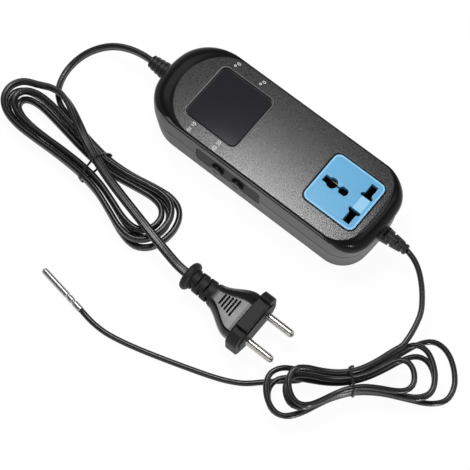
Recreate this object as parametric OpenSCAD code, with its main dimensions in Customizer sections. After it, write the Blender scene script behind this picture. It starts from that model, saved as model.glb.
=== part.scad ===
// Plug-in temperature controller with a mains lead, a two-pin plug, a switched
// outlet on the top face and a steel temperature probe on its own lead.
// Millimetres. X runs along the housing from the display end to the outlet end,
// Y points away from the button side, Z is up, and the housing rests on Z = 0.

/* [Housing] */
// Length of the housing over both ends
body_length = 163; // [150:0.5:180]
// Width of the housing at its parting line
body_width = 60; // [58:0.5:66]
// Height of the housing
body_height = 36.8; // [35:0.1:40]
// Height of the parting line above the base
seam_height = 19.6; // [18:0.1:21]
// Wall thickness of both shells
wall = 2.2; // [1.8:0.1:2.6]
// Length of the rounded fall of the top at the display end
left_fall = 14.5; // [10:0.5:16]
// Length of the rounded fall of the top at the outlet end
right_fall = 8.4; // [6:0.5:10]

/* [Display] */
// Length of the display window along the housing
window_length = 38; // [36:0.5:40]
// Distance from the window to both long sides of the housing
window_margin = 10.5; // [10:0.1:12]
// Corner radius of the display window
window_corner = 4; // [2:0.5:6]
// Thickness of the display window
window_thick = 1.6; // [1.2:0.1:2.4]
// Depth of the window face below the top of the housing
window_sink = 0.7; // [0.3:0.1:1.2]
// Distance from the display end of the housing to the window
window_inset = 28; // [27:0.1:30]

/* [Outlet] */
// Length of the outlet insert along the housing
outlet_length = 36; // [34:0.5:38]
// Width of the outlet insert across the housing
outlet_width = 35; // [34:0.5:38]
// Corner radius of the outlet insert
outlet_corner = 4; // [2:0.5:5]
// Distance from the outlet end of the housing to the insert
outlet_inset = 12.6; // [12:0.1:14]
// Depth of the outlet insert below its face
outlet_depth = 19; // [17:0.5:20]
// Distance from the earth pin to the line of the two live pins
earth_pitch = 22.2; // [22:0.1:22.4]
// Distance from the small round earth hole to the line of the live pins
ground_pitch = 11.9; // [11.7:0.1:12.1]

/* [Buttons] */
// Length of the button panel along the housing
panel_length = 47.6; // [44:0.2:50]
// Height of the button panel
panel_height = 14.4; // [13:0.2:16]
// Centre of the button panel from the middle of the housing
panel_x = -11.6; // [-13:0.2:-10]
// Height of the button panel's centre
panel_z = 20.6; // [20:0.2:21.4]
// Diameter of each push button
button_d = 8; // [7:0.2:9]
// Distance between the two buttons
button_pitch = 15; // [13:0.5:17]
// How far each button stands out of its panel
button_proud = 2.2; // [1.4:0.1:3]
// Travel of each button when it is pressed
button_travel = 0.5; // [0.3:0.05:0.6]

/* [Plug] */
// Distance between the two plug pins
pin_pitch = 19; // [18:0.1:19.4]
// Diameter of each plug pin
pin_d = 4.8; // [4:0.1:4.9]
// Length of each plug pin in front of the plug face
pin_length = 19; // [18:0.1:19.4]
// Width of the plug's collar
collar_width = 38; // [36:0.5:40]
// Height of the plug's collar
collar_height = 26; // [24:0.5:28]
// Thickness of the plug's collar
collar_thick = 7.6; // [6:0.1:9]
// Length of the plug from its tail ring to its collar
plug_tail = 44; // [40:0.5:48]

/* [Leads] */
// Thickness of the flat mains lead
mains_thick = 3.6; // [3.2:0.1:3.8]
// Width of the flat mains lead
mains_width = 5.8; // [5.4:0.1:6]
// Diameter of the probe lead
probe_lead_d = 3.4; // [3:0.1:3.6]
// Diameter of the steel probe tube
probe_d = 4; // [3.8:0.1:6]
// Length of the steel probe tube
probe_length = 34; // [30:0.5:50]

/* [Hidden] */
$fn = 48;

// Overrun of every cut, and the clearances that the pieces share
over = 1;
seat = 0.1;
run_gap = 0.05;
soft_gap = 0.3;

// Housing outline: each end is a wide crown arc between two corner arcs
half_l = body_length / 2;
half_w = body_width / 2;
window_width = body_width - 2 * window_margin;
window_x = window_inset + window_length / 2 - half_l;
outlet_x = half_l - outlet_inset - outlet_length / 2;
left_crown = 0.32 * body_length;
left_corner = 0.8 * half_w;
right_crown = 0.74 * body_length;
right_corner = 0.6 * half_w;
crown_steps = 6;
corner_steps = 10;
top_z = body_height;
inner_top = body_height - wall;
edge_r = 1.5;
foot_r = 2.4;
// Height at which the fall of both ends starts
fall_z = 0.74 * body_height;
draft_l = 1.9;
draft_w = 0.8;
// Heights of the boards and the depth of what stands on them
board_thick = 1.6;
board_z = 6;
board_top = board_z + board_thick;
board_left = -0.37 * body_length;
board_right = outlet_x - outlet_length / 2 - 4;
board_half_y = 22;
board_post_r = 2.6;

// Display stack below the window
ledge = 2.5;
pad_extra = 4;
window_top = top_z - window_sink;
window_base = window_top - window_thick;
pad_base = window_base - 0.8 * wall;
digit_h = 7.2;
digit_w = 0.342 * window_length;
digit_l = 0.72 * window_width;
digit_pitch = window_length / 2;
digit_top = window_base - soft_gap;
display_board_top = digit_top - digit_h;
display_post_r = 2.2;
display_post_x = window_length / 2 + 0.6 * pad_extra;
display_post_y = window_width / 2 + 0.6 * pad_extra;

// Outlet insert, its wells and its contacts
outlet_top = top_z + 0.1 * wall;
outlet_base_z = top_z - outlet_depth;
outlet_base_thick = 2;
outlet_skin = 4.2;
flange_w = 1.6;
line_x = outlet_length / 3.1;
slot_x = 4.6;
slot_in_y = 4.8;
slot_mid_y = 7.4;
slot_out_y = 14.2;
slot_wide_x = 8;
earth_slot_y = 4.4;
earth_slot_x = 8.6;
earth_hole_d = 7;
ground_hole_d = 4.8;
leaf = 0.6;
leaf_top = outlet_top - outlet_skin - 2 * seat;
lug_w = 4;
lug_drop = 5;
well_gap = 0.3;

// Button panel, buttons, switches and the board behind them, from outside in
panel_face = half_w - 0.35;
panel_back = half_w - wall - 0.5;
panel_corner = 2.2;
panel_flange = 1.2;
panel_flange_y = panel_back - 1;
flange_front = panel_flange_y - soft_gap;
button_flange_thick = 0.8;
button_flange_r = button_d / 2 + 1;
button_back = flange_front - button_flange_thick;
switch_face = button_back - button_travel - soft_gap;
switch_depth = 3.6;
switch_size = 6;
switch_back = switch_face - switch_depth;
plunger_r = 1.7;
plunger_deep = 2;
key_board_half = 0.4 * panel_length;
key_board_top = display_board_top - board_thick - soft_gap;
button_z = panel_z - 0.05 * panel_height;

// Case screws stand in four pillars, and the shells lap at the parting line
screw_r = 1.5;
screw_head_r = 2.8;
screw_head_h = 2;
pillar_r = 4.2;
well_r = 3.1;
well_depth = 8;
pillar_left_x = -0.405 * body_length;
pillar_left_y = 0.28 * body_width;
pillar_right_x = outlet_x - outlet_length / 2 - flange_w - pillar_r;
pillar_right_y = half_w - wall - pillar_r - soft_gap;
PILLARS = [
    [pillar_left_x, pillar_left_y], [pillar_left_x, -pillar_left_y],
    [pillar_right_x, pillar_right_y], [pillar_right_x, -pillar_right_y]
];
lap_h = 1.4;
lap_out = 0.5 * wall;
lap_in = 0.9 * wall;

// Strain reliefs in both end walls, on the parting line
boot_neck_r = 4.4;
boot_flange_r = 6.2;
boot_flange = 2;
// Both flanges stand clear of the curved and drafted inner wall
boot_lap = pow(boot_flange_r, 2) / (2 * (left_crown - wall)) + draft_l * boot_flange_r / seam_height + seat;
mains_boot_l = 13.6;
mains_boot_r0 = 5.8;
mains_boot_r1 = 4.2;
probe_boot_l = 17.6;
probe_boot_r0 = 5.4;
probe_boot_r1 = 3.2;
left_wall_x = -half_l;
right_step = 1.2;
right_wall_x = half_l - right_step;
inner_lead_l = 15;

function end_points(l, w, crown, corner) =
    let (
        cy = w - corner,
        cx = l - crown + sqrt(pow(crown - corner, 2) - cy * cy),
        a = atan2(cy, cx - l + crown)
    )
    concat(
        [for (i = [0:crown_steps - 1]) let (t = a * i / crown_steps)
            [l - crown + crown * cos(t), crown * sin(t)]],
        [for (i = [0:corner_steps]) let (t = a + (90 - a) * i / corner_steps)
            [cx + corner * cos(t), cy + corner * sin(t)]]
    );

// Closed outline with a blunt right end and a rounder left end
function outline(ll, lr, w, inset) =
    let (
        r = end_points(lr, w, right_crown - inset, right_corner - inset),
        l = end_points(ll, w, left_crown - inset, left_corner - inset),
        n = len(r) - 1
    )
    concat(
        r, [for (i = [n:-1:0]) [-l[i].x, l[i].y]],
        [for (i = [1:n]) [-l[i].x, -l[i].y]], [for (i = [n:-1:1]) [r[i].x, -r[i].y]]
    );

// Ring of the lower half at height z, inset by a wall d
function low_ring(z, d) =
    let (
        k = 1 - z / seam_height,
        f = z < foot_r ? foot_r - sqrt(foot_r * foot_r - pow(foot_r - z, 2)) : 0,
        ll = half_l - draft_l * k - f - d,
        lr = right_wall_x - draft_l * k / 2 - f - d,
        w = half_w - draft_w * k - f - d
    )
    [for (p = outline(ll, lr, w, d + f)) [p.x, p.y, z]];

// Ring of the upper half at angle a of the fall, inset by a wall d
function top_ring(a, d) =
    let (
        z = fall_z + (top_z - d - fall_z) * sin(a),
        e = z - (top_z - d - edge_r),
        side = e > 0 ? edge_r - sqrt(edge_r * edge_r - e * e) : 0,
        drop = 1 - cos(a),
        w = half_w - draft_w * (z - seam_height) / (top_z - seam_height) - side - d
    )
    [for (p = outline(half_l - left_fall * drop - d, half_l - right_fall * drop - d, w, d + 0.4 * right_fall * drop))
        [p.x, p.y, z]];

// Solid between rings of equal length
module loft(rings) {
    n = len(rings[0]);
    m = len(rings);
    polyhedron(
        points = [for (r = rings) each r],
        faces = concat(
            [[for (i = [0:n - 1]) i]],
            [for (j = [0:m - 2]) for (i = [0:n - 1]) each [
                [j * n + i, (j + 1) * n + i, j * n + (i + 1) % n],
                [j * n + (i + 1) % n, (j + 1) * n + i, (j + 1) * n + (i + 1) % n]
            ]],
            [[for (i = [n - 1:-1:0]) (m - 1) * n + i]]
        ),
        convexity = 8
    );
}

// The ring at the parting line, set to another height
function lap_ring(z, d) = [for (p = low_ring(seam_height, d)) [p.x, p.y, z]];

// Lower shell in one skin: foot, outer wall, the lip inside the lap, inner wall and floor
module lower_skin() {
    loft([
        for (z = [0, 0.12, 0.45, 1]) low_ring(z * foot_r, 0),
        lap_ring(seam_height, 0), lap_ring(seam_height, lap_out), lap_ring(seam_height + lap_h, lap_out),
        lap_ring(seam_height + lap_h, lap_in), lap_ring(seam_height - lap_h, wall),
        for (z = [1, 0.3, 0]) low_ring(wall + z * foot_r, wall)
    ]);
}

// Upper shell in one skin: ceiling, inner wall, the step that takes the lip, outer wall and top
module upper_skin() {
    loft([
        for (a = [90, 78, 60, 30, 0]) top_ring(a, wall),
        lap_ring(seam_height + lap_h + seat, wall), lap_ring(seam_height + lap_h + seat, lap_out - seat),
        lap_ring(seam_height, lap_out - seat), lap_ring(seam_height, 0),
        for (a = [0, 18, 36, 52, 64, 72, 79, 85, 90]) top_ring(a, 0)
    ]);
}

// Rectangle with round corners, centred
module round_rect(l, w, r) {
    square([l - 2 * r, w], center = true);
    square([l, w - 2 * r], center = true);
    for (sx = [-1, 1], sy = [-1, 1]) translate([sx * (l / 2 - r), sy * (w / 2 - r)]) circle(r);
}

module block(l, w, h) {
    translate([-l / 2, -w / 2, 0]) cube([l, w, h]);
}

// What both shells leave free: the panel, the strain reliefs and the side groove
module wall_cuts() {
    translate([panel_x, -half_w - over, panel_z]) rotate([-90, 0, 0])
        linear_extrude(wall + 2 * over) round_rect(panel_length + 2 * seat, panel_height + 2 * seat, panel_corner);
    translate([left_wall_x - over, 0, seam_height]) rotate([0, 90, 0])
        cylinder(h = wall + 4 * over, r = boot_neck_r + seat);
    translate([right_wall_x - wall - 3 * over, 0, seam_height]) rotate([0, 90, 0])
        cylinder(h = wall + 5 * over, r = boot_neck_r + seat);
    translate([right_wall_x, 0, seam_height]) rotate([0, 90, 0])
        cylinder(h = right_step + over, r = probe_boot_r0 + seat);
}

module upper_shell() {
    color([0.17, 0.17, 0.18]) difference() {
        union() {
            upper_skin();
            // Frame that carries the window, and posts for its board
            translate([window_x, 0, pad_base]) linear_extrude(inner_top - pad_base + seat)
                round_rect(window_length + 2 * pad_extra, window_width + 2 * pad_extra, window_corner);
            for (sx = [-1, 1], sy = [-1, 1])
                translate([window_x + sx * display_post_x, sy * display_post_y, display_board_top])
                    cylinder(h = inner_top - display_board_top + seat, r = display_post_r);
            for (p = PILLARS) translate([p.x, p.y, seam_height])
                cylinder(h = inner_top - seam_height + seat, r = pillar_r);
        }
        translate([window_x, 0, window_base]) linear_extrude(window_thick + window_sink + over)
            round_rect(window_length + 2 * seat, window_width + 2 * seat, window_corner);
        translate([window_x, 0, pad_base - over]) linear_extrude(wall + 3 * over)
            round_rect(window_length - 2 * ledge, window_width - 2 * ledge, window_corner);
        translate([outlet_x, 0, inner_top - over]) linear_extrude(wall + 2 * over)
            round_rect(outlet_length + 2 * seat, outlet_width + 2 * seat, outlet_corner);
        wall_cuts();
        for (p = PILLARS) translate([p.x, p.y, seam_height - over])
            cylinder(h = 0.6 * (inner_top - seam_height) + over, r = screw_r - seat);
        // Line pressed into both long sides just below the top
        for (sy = [-1, 1]) translate([-0.36 * body_length, sy * (half_w - draft_w) - edge_r / 3, top_z - 2.3 * edge_r])
            cube([0.76 * body_length, 2 * edge_r / 3, edge_r / 2]);
    }
}

module lower_shell() {
    color([0.30, 0.30, 0.31]) difference() {
        union() {
            lower_skin();
            for (p = PILLARS) translate([p.x, p.y, wall / 2]) cylinder(h = seam_height - wall / 2, r = pillar_r);
            // Posts for the main board and ribs below the outlet
            for (x = [board_left + 2 * board_post_r, board_right - 2 * board_post_r], sy = [-1, 1])
                translate([x, sy * (board_half_y - 1.5 * board_post_r), wall / 2])
                    cylinder(h = board_z - wall / 2, r = board_post_r);
            for (sx = [-1, 1]) translate([outlet_x + sx * outlet_length / 4.5, 0, wall / 2])
                block(wall, outlet_width, outlet_base_z - outlet_base_thick - wall / 2);
            clamp_posts();
        }
        wall_cuts();
        for (p = PILLARS) translate([p.x, p.y, -over]) {
            cylinder(h = well_depth + over, r = well_r);
            cylinder(h = seam_height + 2 * over, r = screw_r + seat);
        }
    }
}

module display_window() {
    color([0.10, 0.10, 0.12]) translate([window_x, 0, window_base]) linear_extrude(window_thick)
        round_rect(window_length, window_width, window_corner);
}

module button_panel() {
    color([0.15, 0.15, 0.16]) difference() {
        union() {
            translate([panel_x, -panel_face, panel_z]) rotate([-90, 0, 0]) linear_extrude(panel_face - panel_back)
                round_rect(panel_length, panel_height, panel_corner);
            translate([panel_x, -panel_back, panel_z]) rotate([-90, 0, 0]) linear_extrude(panel_back - panel_flange_y)
                round_rect(panel_length + 2 * panel_flange, panel_height + 2 * panel_flange, panel_corner);
        }
        for (s = [-1, 1]) translate([panel_x + s * button_pitch / 2, -panel_face - over, button_z]) rotate([-90, 0, 0])
            cylinder(h = panel_face - panel_flange_y + 2 * over, r = button_d / 2 + run_gap);
    }
}

module push_button(side) {
    color([0.07, 0.07, 0.08]) translate([panel_x + side * button_pitch / 2, -panel_face - button_proud, button_z])
        rotate([-90, 0, 0]) rotate_extrude() polygon([
            [0, 0], [0.42 * button_d, 0], [0.47 * button_d, 0.02 * button_d], [0.5 * button_d, 0.07 * button_d],
            [0.5 * button_d, panel_face + button_proud - flange_front], [button_flange_r, panel_face + button_proud - flange_front],
            [button_flange_r, panel_face + button_proud - button_back], [0, panel_face + button_proud - button_back]
        ]);
}

module up_button() push_button(1);
module down_button() push_button(-1);

// Outlet aperture for a flat or round live pin, on the side given
module live_slot(side) {
    translate([line_x - slot_x / 2, side > 0 ? slot_mid_y - over / 4 : -slot_out_y]) square([slot_x, slot_out_y - slot_mid_y + over / 4]);
    polygon([for (p = [[-0.5, slot_in_y], [0.5, slot_in_y], [0.5, slot_in_y + 0.6 * (slot_mid_y - slot_in_y)], [0.22, slot_mid_y + 0.1 * slot_in_y],
        [-0.22, slot_mid_y + 0.1 * slot_in_y], [-0.5, slot_in_y + 0.6 * (slot_mid_y - slot_in_y)]]) [line_x + p.x * slot_wide_x, side * p.y]]);
}

module earth_slots() {
    ex = line_x - earth_pitch;
    gx = line_x - ground_pitch;
    translate([ex - earth_slot_x / 2, -earth_slot_y / 2]) square([earth_slot_x, earth_slot_y]);
    translate([ex + 0.19 * earth_slot_x, 0]) circle(d = earth_hole_d);
    intersection() {
        translate([gx - 0.1 * ground_hole_d, 0]) circle(d = 1.25 * ground_hole_d);
        translate([gx - 0.7 * ground_hole_d, -ground_hole_d / 2]) square([1.4 * ground_hole_d, ground_hole_d]);
    }
    translate([ex, -0.12 * earth_slot_y]) square([gx - ex, 0.24 * earth_slot_y]);
}

well_x = slot_wide_x + 2 * well_gap;
well_y = slot_out_y - slot_in_y + 2 * well_gap;
earth_well_x = earth_slot_x + 2 * well_gap;
earth_well_y = earth_slot_y + 2 * leaf + 2 * well_gap;
face_base = outlet_top - outlet_skin;

// Face of the outlet with its apertures, held under the top by a flange
module outlet_face() {
    color([0.45, 0.72, 0.90]) translate([outlet_x, 0, 0]) difference() {
        union() {
            translate([0, 0, face_base]) linear_extrude(outlet_skin - edge_r / 3)
                round_rect(outlet_length, outlet_width, outlet_corner);
            translate([0, 0, outlet_top - edge_r / 3]) linear_extrude(edge_r / 3)
                round_rect(outlet_length - edge_r / 2, outlet_width - edge_r / 2, outlet_corner - edge_r / 4);
            translate([0, 0, inner_top - seat - flange_w]) linear_extrude(flange_w)
                round_rect(outlet_length + 2 * flange_w, outlet_width + 2 * flange_w, outlet_corner);
        }
        translate([0, 0, face_base - over]) linear_extrude(outlet_skin + 2 * over) {
            live_slot(1);
            live_slot(-1);
            earth_slots();
        }
        // Shallow step between the two live apertures
        translate([line_x - slot_x / 2, -slot_mid_y, outlet_top - edge_r / 2]) cube([slot_wide_x / 2 + slot_x / 2, 2 * slot_mid_y, edge_r]);
    }
}

// Block below the face, with a well for each contact
module outlet_body() {
    color([0.13, 0.13, 0.14]) translate([outlet_x, 0, outlet_base_z]) difference() {
        linear_extrude(face_base - outlet_base_z) round_rect(outlet_length, outlet_width, outlet_corner);
        for (s = [-1, 1]) translate([line_x, s * (slot_out_y + slot_in_y) / 2, -over])
            block(well_x, well_y, face_base - outlet_base_z + 2 * over);
        translate([line_x - earth_pitch, 0, -over]) block(earth_well_x, earth_well_y, face_base - outlet_base_z + 2 * over);
        translate([line_x - ground_pitch, 0, -over])
            block(1.4 * ground_hole_d, ground_hole_d + 2 * well_gap, face_base - outlet_base_z + 2 * over);
    }
}

module outlet_base() {
    color([0.13, 0.13, 0.14]) translate([outlet_x, 0, outlet_base_z - outlet_base_thick]) difference() {
        linear_extrude(outlet_base_thick) round_rect(outlet_length, outlet_width, outlet_corner);
        for (s = [-1, 1]) translate([line_x, s * (slot_out_y + slot_mid_y) / 2, -over])
            block(leaf + 2 * seat, lug_w + 2 * seat, outlet_base_thick + 2 * over);
        translate([line_x - earth_pitch, 0, -over]) block(leaf + 2 * seat, lug_w + 2 * seat, outlet_base_thick + 2 * over);
    }
}

// Sprung clip of two leaves joined at the foot, with a solder lug through the base
module clip(gap, width) {
    for (s = [-1, 1]) translate([s * (gap + leaf) / 2, 0, 0]) block(leaf, width, leaf_top - outlet_base_z);
    block(gap + leaf, width, leaf);
    translate([0, 0, -lug_drop]) block(leaf, lug_w, lug_drop + leaf / 2);
}

module live_contact() {
    color([0.80, 0.62, 0.28]) translate([outlet_x + line_x, (slot_out_y + slot_mid_y) / 2, outlet_base_z])
        clip(slot_x, slot_out_y - slot_mid_y);
}

module neutral_contact() {
    color([0.80, 0.62, 0.28]) translate([outlet_x + line_x, -(slot_out_y + slot_mid_y) / 2, outlet_base_z])
        clip(slot_x, slot_out_y - slot_mid_y);
}

module earth_contact() {
    color([0.80, 0.62, 0.28]) translate([outlet_x + line_x - earth_pitch, 0, outlet_base_z]) {
        for (s = [-1, 1]) translate([0, s * (earth_slot_y + leaf) / 2, 0]) block(earth_slot_x, leaf, leaf_top - outlet_base_z);
        block(earth_slot_x, earth_slot_y + leaf, leaf);
        translate([0, 0, -lug_drop]) block(leaf, lug_w, lug_drop + leaf / 2);
    }
}

// Boards
module main_board() {
    color([0.12, 0.36, 0.20]) translate([0, 0, board_z]) difference() {
        translate([board_left, -board_half_y, 0]) cube([board_right - board_left, 2 * board_half_y, board_thick]);
        for (p = PILLARS) translate([p.x, p.y, -over]) cylinder(h = board_thick + 2 * over, r = pillar_r + soft_gap);
    }
}

module display_board() {
    color([0.12, 0.36, 0.20]) translate([window_x, 0, display_board_top - board_thick])
        block(2 * (display_post_x + display_post_r), 2 * (display_post_y + display_post_r), board_thick);
}

module key_board() {
    color([0.12, 0.36, 0.20]) translate([panel_x - key_board_half, -switch_back, board_top])
        cube([2 * key_board_half, board_thick, key_board_top - board_top]);
}

module digits(side) {
    color([0.25, 0.25, 0.26]) translate([window_x + side * digit_pitch / 2, 0, display_board_top]) difference() {
        block(digit_w, digit_l, digit_h);
        // Light wells of three seven-bar digits
        for (k = [-1:1]) translate([0, k * digit_l / 3.2, digit_h - digit_h / 8]) {
            for (x = [-0.32, 0, 0.32]) translate([x * digit_w, 0, 0]) block(0.09 * digit_w, 0.2 * digit_l / 1.4, digit_h);
            for (x = [-0.16, 0.16], y = [-0.105, 0.105]) translate([x * digit_w, y * digit_l, 0])
                block(0.2 * digit_w, 0.035 * digit_l, digit_h);
        }
    }
}

module upper_digits() digits(-1);
module lower_digits() digits(1);

module key_switches() {
    color([0.55, 0.55, 0.56]) for (s = [-1, 1])
        translate([panel_x + s * button_pitch / 2, -switch_face, button_z]) rotate([-90, 0, 0]) difference() {
            translate([-switch_size / 2, -switch_size / 2, 0]) cube([switch_size, switch_size, switch_depth]);
            translate([0, 0, -over]) cylinder(h = over + plunger_deep + button_travel + soft_gap, r = plunger_r + run_gap);
        }
}

module plunger(side) {
    color([0.85, 0.85, 0.83]) translate([panel_x + side * button_pitch / 2, -button_back, button_z]) rotate([-90, 0, 0])
        cylinder(h = button_back - switch_face + plunger_deep, r = plunger_r);
}

module up_plunger() plunger(1);
module down_plunger() plunger(-1);

// Parts on the main board
relay_l = 19;
relay_w = 15.5;
relay_h = 0.42 * body_height;
relay_x = board_right - relay_l;
capacitor_l = 18;
capacitor_w = 8.5;
capacitor_h = 0.36 * body_height;
can_r = 5;
can_h = 0.36 * body_height;
disc_r = 5.5;
disc_thick = 3.6;
fuse_r = 2.6;
fuse_l = 18;
fuse_cap = 3.5;
chip_l = 12.8;
chip_w = 7.5;
chip_h = 2.3;
header_l = 7.4;
header_w = 5.8;
header_h = 6.2;
row_y = 0.3 * board_half_y;

module rounded_block(l, w, h, r) {
    linear_extrude(h) round_rect(l, w, r);
}

module relay() {
    color([0.12, 0.35, 0.75]) translate([relay_x, row_y, board_top]) {
        rounded_block(relay_l, relay_w, relay_h - edge_r / 2, edge_r);
        rounded_block(relay_l - edge_r, relay_w - edge_r, relay_h, edge_r);
    }
}

module dropper_capacitor() {
    color([0.80, 0.65, 0.15]) translate([relay_x - relay_l / 2 - capacitor_l / 2 - 2, row_y + capacitor_w / 2, board_top])
        rounded_block(capacitor_l, capacitor_w, capacitor_h, edge_r);
}

module smoothing_capacitor() {
    color([0.10, 0.12, 0.30]) translate([relay_x - relay_l / 2 - capacitor_l - 4 - can_r, row_y, board_top]) rotate_extrude()
        polygon([
            [0, 0], [can_r, 0], [can_r, 0.08 * can_h], [0.93 * can_r, 0.12 * can_h], [can_r, 0.16 * can_h],
            [can_r, 0.96 * can_h], [0.92 * can_r, can_h], [0, can_h]
        ]);
}

module surge_disc() {
    color([0.10, 0.30, 0.60]) translate([board_left + 3 * disc_thick, row_y, board_top + disc_r]) rotate([90, 0, 90])
        translate([0, 0, -disc_thick / 2]) {
            cylinder(h = disc_thick, r = disc_r);
            translate([-disc_r / 2, -disc_r, disc_thick / 3]) cube([disc_r, disc_r, disc_thick / 3]);
        }
}

module fuse() {
    color([0.75, 0.75, 0.72]) translate([board_left + 2 * disc_r, -row_y, board_top + fuse_r]) rotate([0, 90, 0]) {
        cylinder(h = fuse_l, r = 0.88 * fuse_r);
        for (x = [0, fuse_l - fuse_cap]) translate([0, 0, x]) cylinder(h = fuse_cap, r = fuse_r);
    }
}

module controller_chip() {
    color([0.08, 0.08, 0.09]) translate([relay_x - relay_l, -row_y, board_top]) {
        translate([0, 0, chip_h / 8]) block(chip_l, chip_w, chip_h);
        // Gull-wing leads down both long sides
        for (k = [-3.5:3.5], s = [-1, 1]) translate([k * chip_l / 8, s * 0.55 * chip_w, 0])
            block(chip_l / 24, 0.22 * chip_w, 0.4 * chip_h);
    }
}

module probe_header() {
    color([0.92, 0.90, 0.84]) translate([relay_x, -board_half_y + 1.2 * header_w, board_top]) difference() {
        block(header_l, header_w, header_h);
        translate([0, 0, header_h / 4]) block(header_l - edge_r, header_w - edge_r, header_h);
    }
}

// Clamp over the flat lead where it enters, held to two posts of its own
clamp_x = left_wall_x + 0.09 * body_length;
clamp_l = 5;
clamp_thick = 3;
clamp_half = 1.35 * mains_width + screw_r;
clamp_base = seam_height - mains_thick / 2 - soft_gap / 3;

module clamp_posts() {
    difference() {
        translate([clamp_x, 0, wall / 2]) union() {
            for (s = [-1, 1]) translate([0, s * clamp_half, 0]) cylinder(h = clamp_base - wall / 2, r = clamp_l / 2);
            block(clamp_l, 2 * clamp_half, clamp_base - wall / 2);
        }
        for (s = [-1, 1]) translate([clamp_x, s * clamp_half, clamp_base / 2]) cylinder(h = clamp_base, r = screw_r - seat);
    }
}

module lead_clamp() {
    color([0.90, 0.90, 0.86]) difference() {
        translate([clamp_x, 0, clamp_base]) block(clamp_l, 2 * clamp_half + clamp_l, mains_thick + clamp_thick);
        translate([clamp_x, 0, clamp_base - over]) block(2 * clamp_l, mains_width + 2 * seat, mains_thick + 2 * seat + over);
        for (s = [-1, 1]) translate([clamp_x, s * clamp_half, clamp_base - over])
            cylinder(h = mains_thick + clamp_thick + 2 * over, r = screw_r + seat);
    }
}

// End of the flat mains lead inside the housing, held down by the clamp
module mains_core() {
    color([0.08, 0.08, 0.09]) translate([left_wall_x + wall + boot_flange + boot_lap, 0, seam_height])
        rotate([0, 90, 0]) linear_extrude(inner_lead_l) {
            for (s = [-1, 1]) translate([0, s * (mains_width - mains_thick) / 2]) circle(d = mains_thick);
            square([0.9 * mains_thick, mains_width - mains_thick], center = true);
        }
}

// Pan-head screw, its head up, standing on the plane z = 0
module screw(length) {
    difference() {
        cylinder(h = screw_head_h, r1 = screw_head_r, r2 = 0.8 * screw_head_r);
        for (a = [0, 90]) rotate(a) translate([-0.6 * screw_head_r, -screw_r / 5, screw_head_h / 2])
            cube([1.2 * screw_head_r, 0.4 * screw_r, screw_head_h]);
    }
    translate([0, 0, -length]) cylinder(h = length + seat, r = screw_r - 2 * seat);
}

module clamp_screws() {
    color([0.75, 0.75, 0.77]) for (s = [-1, 1])
        translate([clamp_x, s * clamp_half, clamp_base + mains_thick + clamp_thick]) screw(mains_thick + clamp_thick + 4 * screw_r);
}

module case_screws() {
    color([0.30, 0.30, 0.32]) for (p = PILLARS)
        translate([p.x, p.y, well_depth]) mirror([0, 0, 1]) screw(seam_height - well_depth + 4 * screw_r);
}

// Ribbed strain relief of the mains lead: closed ribs on a taper
module mains_boot() {
    n = 4;
    rib = mains_boot_l / (n + 0.4);
    function r_at(x) = mains_boot_r0 + (mains_boot_r1 - mains_boot_r0) * x / mains_boot_l;
    color([0.06, 0.06, 0.07]) translate([left_wall_x, 0, seam_height]) rotate([0, -90, 0]) difference() {
        rotate_extrude() polygon(concat(
            [[0, -wall - boot_flange - boot_lap], [boot_flange_r, -wall - boot_flange - boot_lap],
                [boot_flange_r, -wall - boot_lap], [boot_neck_r, -wall - boot_lap], [boot_neck_r, seat]],
            [for (k = [0:n - 1]) each [
                [r_at(k * rib), k * rib + (k == 0 ? seat : 0)], [r_at((k + 0.68) * rib), (k + 0.68) * rib],
                [r_at((k + 0.68) * rib) - 0.22 * rib, (k + 0.76) * rib], [r_at((k + 1) * rib) - 0.22 * rib, (k + 0.94) * rib]
            ]],
            [[mains_boot_r1, n * rib], [mains_boot_r1, mains_boot_l], [0, mains_boot_l]]
        ));
    }
}

// Segmented strain relief of the probe lead: slots in turn from above and from the side
module probe_boot() {
    n = 4;
    step = probe_boot_l / (n + 0.3);
    gap = 0.3 * step;
    color([0.06, 0.06, 0.07]) translate([right_wall_x, 0, seam_height]) rotate([0, 90, 0]) difference() {
        union() {
            translate([0, 0, -wall - boot_flange - boot_lap]) cylinder(h = boot_flange, r = boot_flange_r);
            translate([0, 0, -wall - boot_flange / 2 - boot_lap]) cylinder(h = wall + boot_flange / 2 + boot_lap + 2 * seat, r = boot_neck_r);
            translate([0, 0, seat]) cylinder(h = probe_boot_l, r1 = probe_boot_r0, r2 = probe_boot_r1);
        }
        for (k = [1:n]) for (s = [-1, 1]) rotate(k % 2 == 0 ? 0 : 90)
            translate([s * (probe_lead_d / 2 + 0.4 + probe_boot_r0), 0, k * step - gap])
                cube([2 * probe_boot_r0, 4 * probe_boot_r0, gap], center = true);
    }
}

// Where the plug and the probe lie
plug_x = 6.4;
plug_y = -89.4;
plug_z = collar_height / 2;
ring_thick = 6;
ring_r = 0.35 * collar_height;
neck_r = 0.25 * collar_height;
neck_l = 0.33 * plug_tail;
shank_r = 0.4 * pin_d;
probe_at = [-29.6, -143];
probe_turn = 171.6;

// Section of a lead: half its size across and up, then a turn about its own line
function lead_ring(at, along, a, b, sides, turn) =
    let (side = cross([0, 0, 1], along) / norm(cross([0, 0, 1], along)), up = cross(along, side) / norm(along))
    [for (k = [0:sides - 1]) let (
        t = 360 * (k + (sides % 4 == 0 ? 0.5 : 0)) / sides + (sides % 4 == 0 ? 0 : 90),
        p = [a * cos(t), b * sin(t)]
    ) at + side * (p.x * cos(turn) - p.y * sin(turn)) + up * (p.x * sin(turn) + p.y * cos(turn))];

function heading(path, i) =
    let (n = len(path) - 1)
    i == 0 ? path[1] - path[0] : i == n ? path[n] - path[n - 1]
        : (path[i] - path[i - 1]) / norm(path[i] - path[i - 1]) + (path[i + 1] - path[i]) / norm(path[i + 1] - path[i]);

// A lead that turns about its own line does it early, over a third of its length
function twist(u) = smooth(3 * (u - 0.1));

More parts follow.
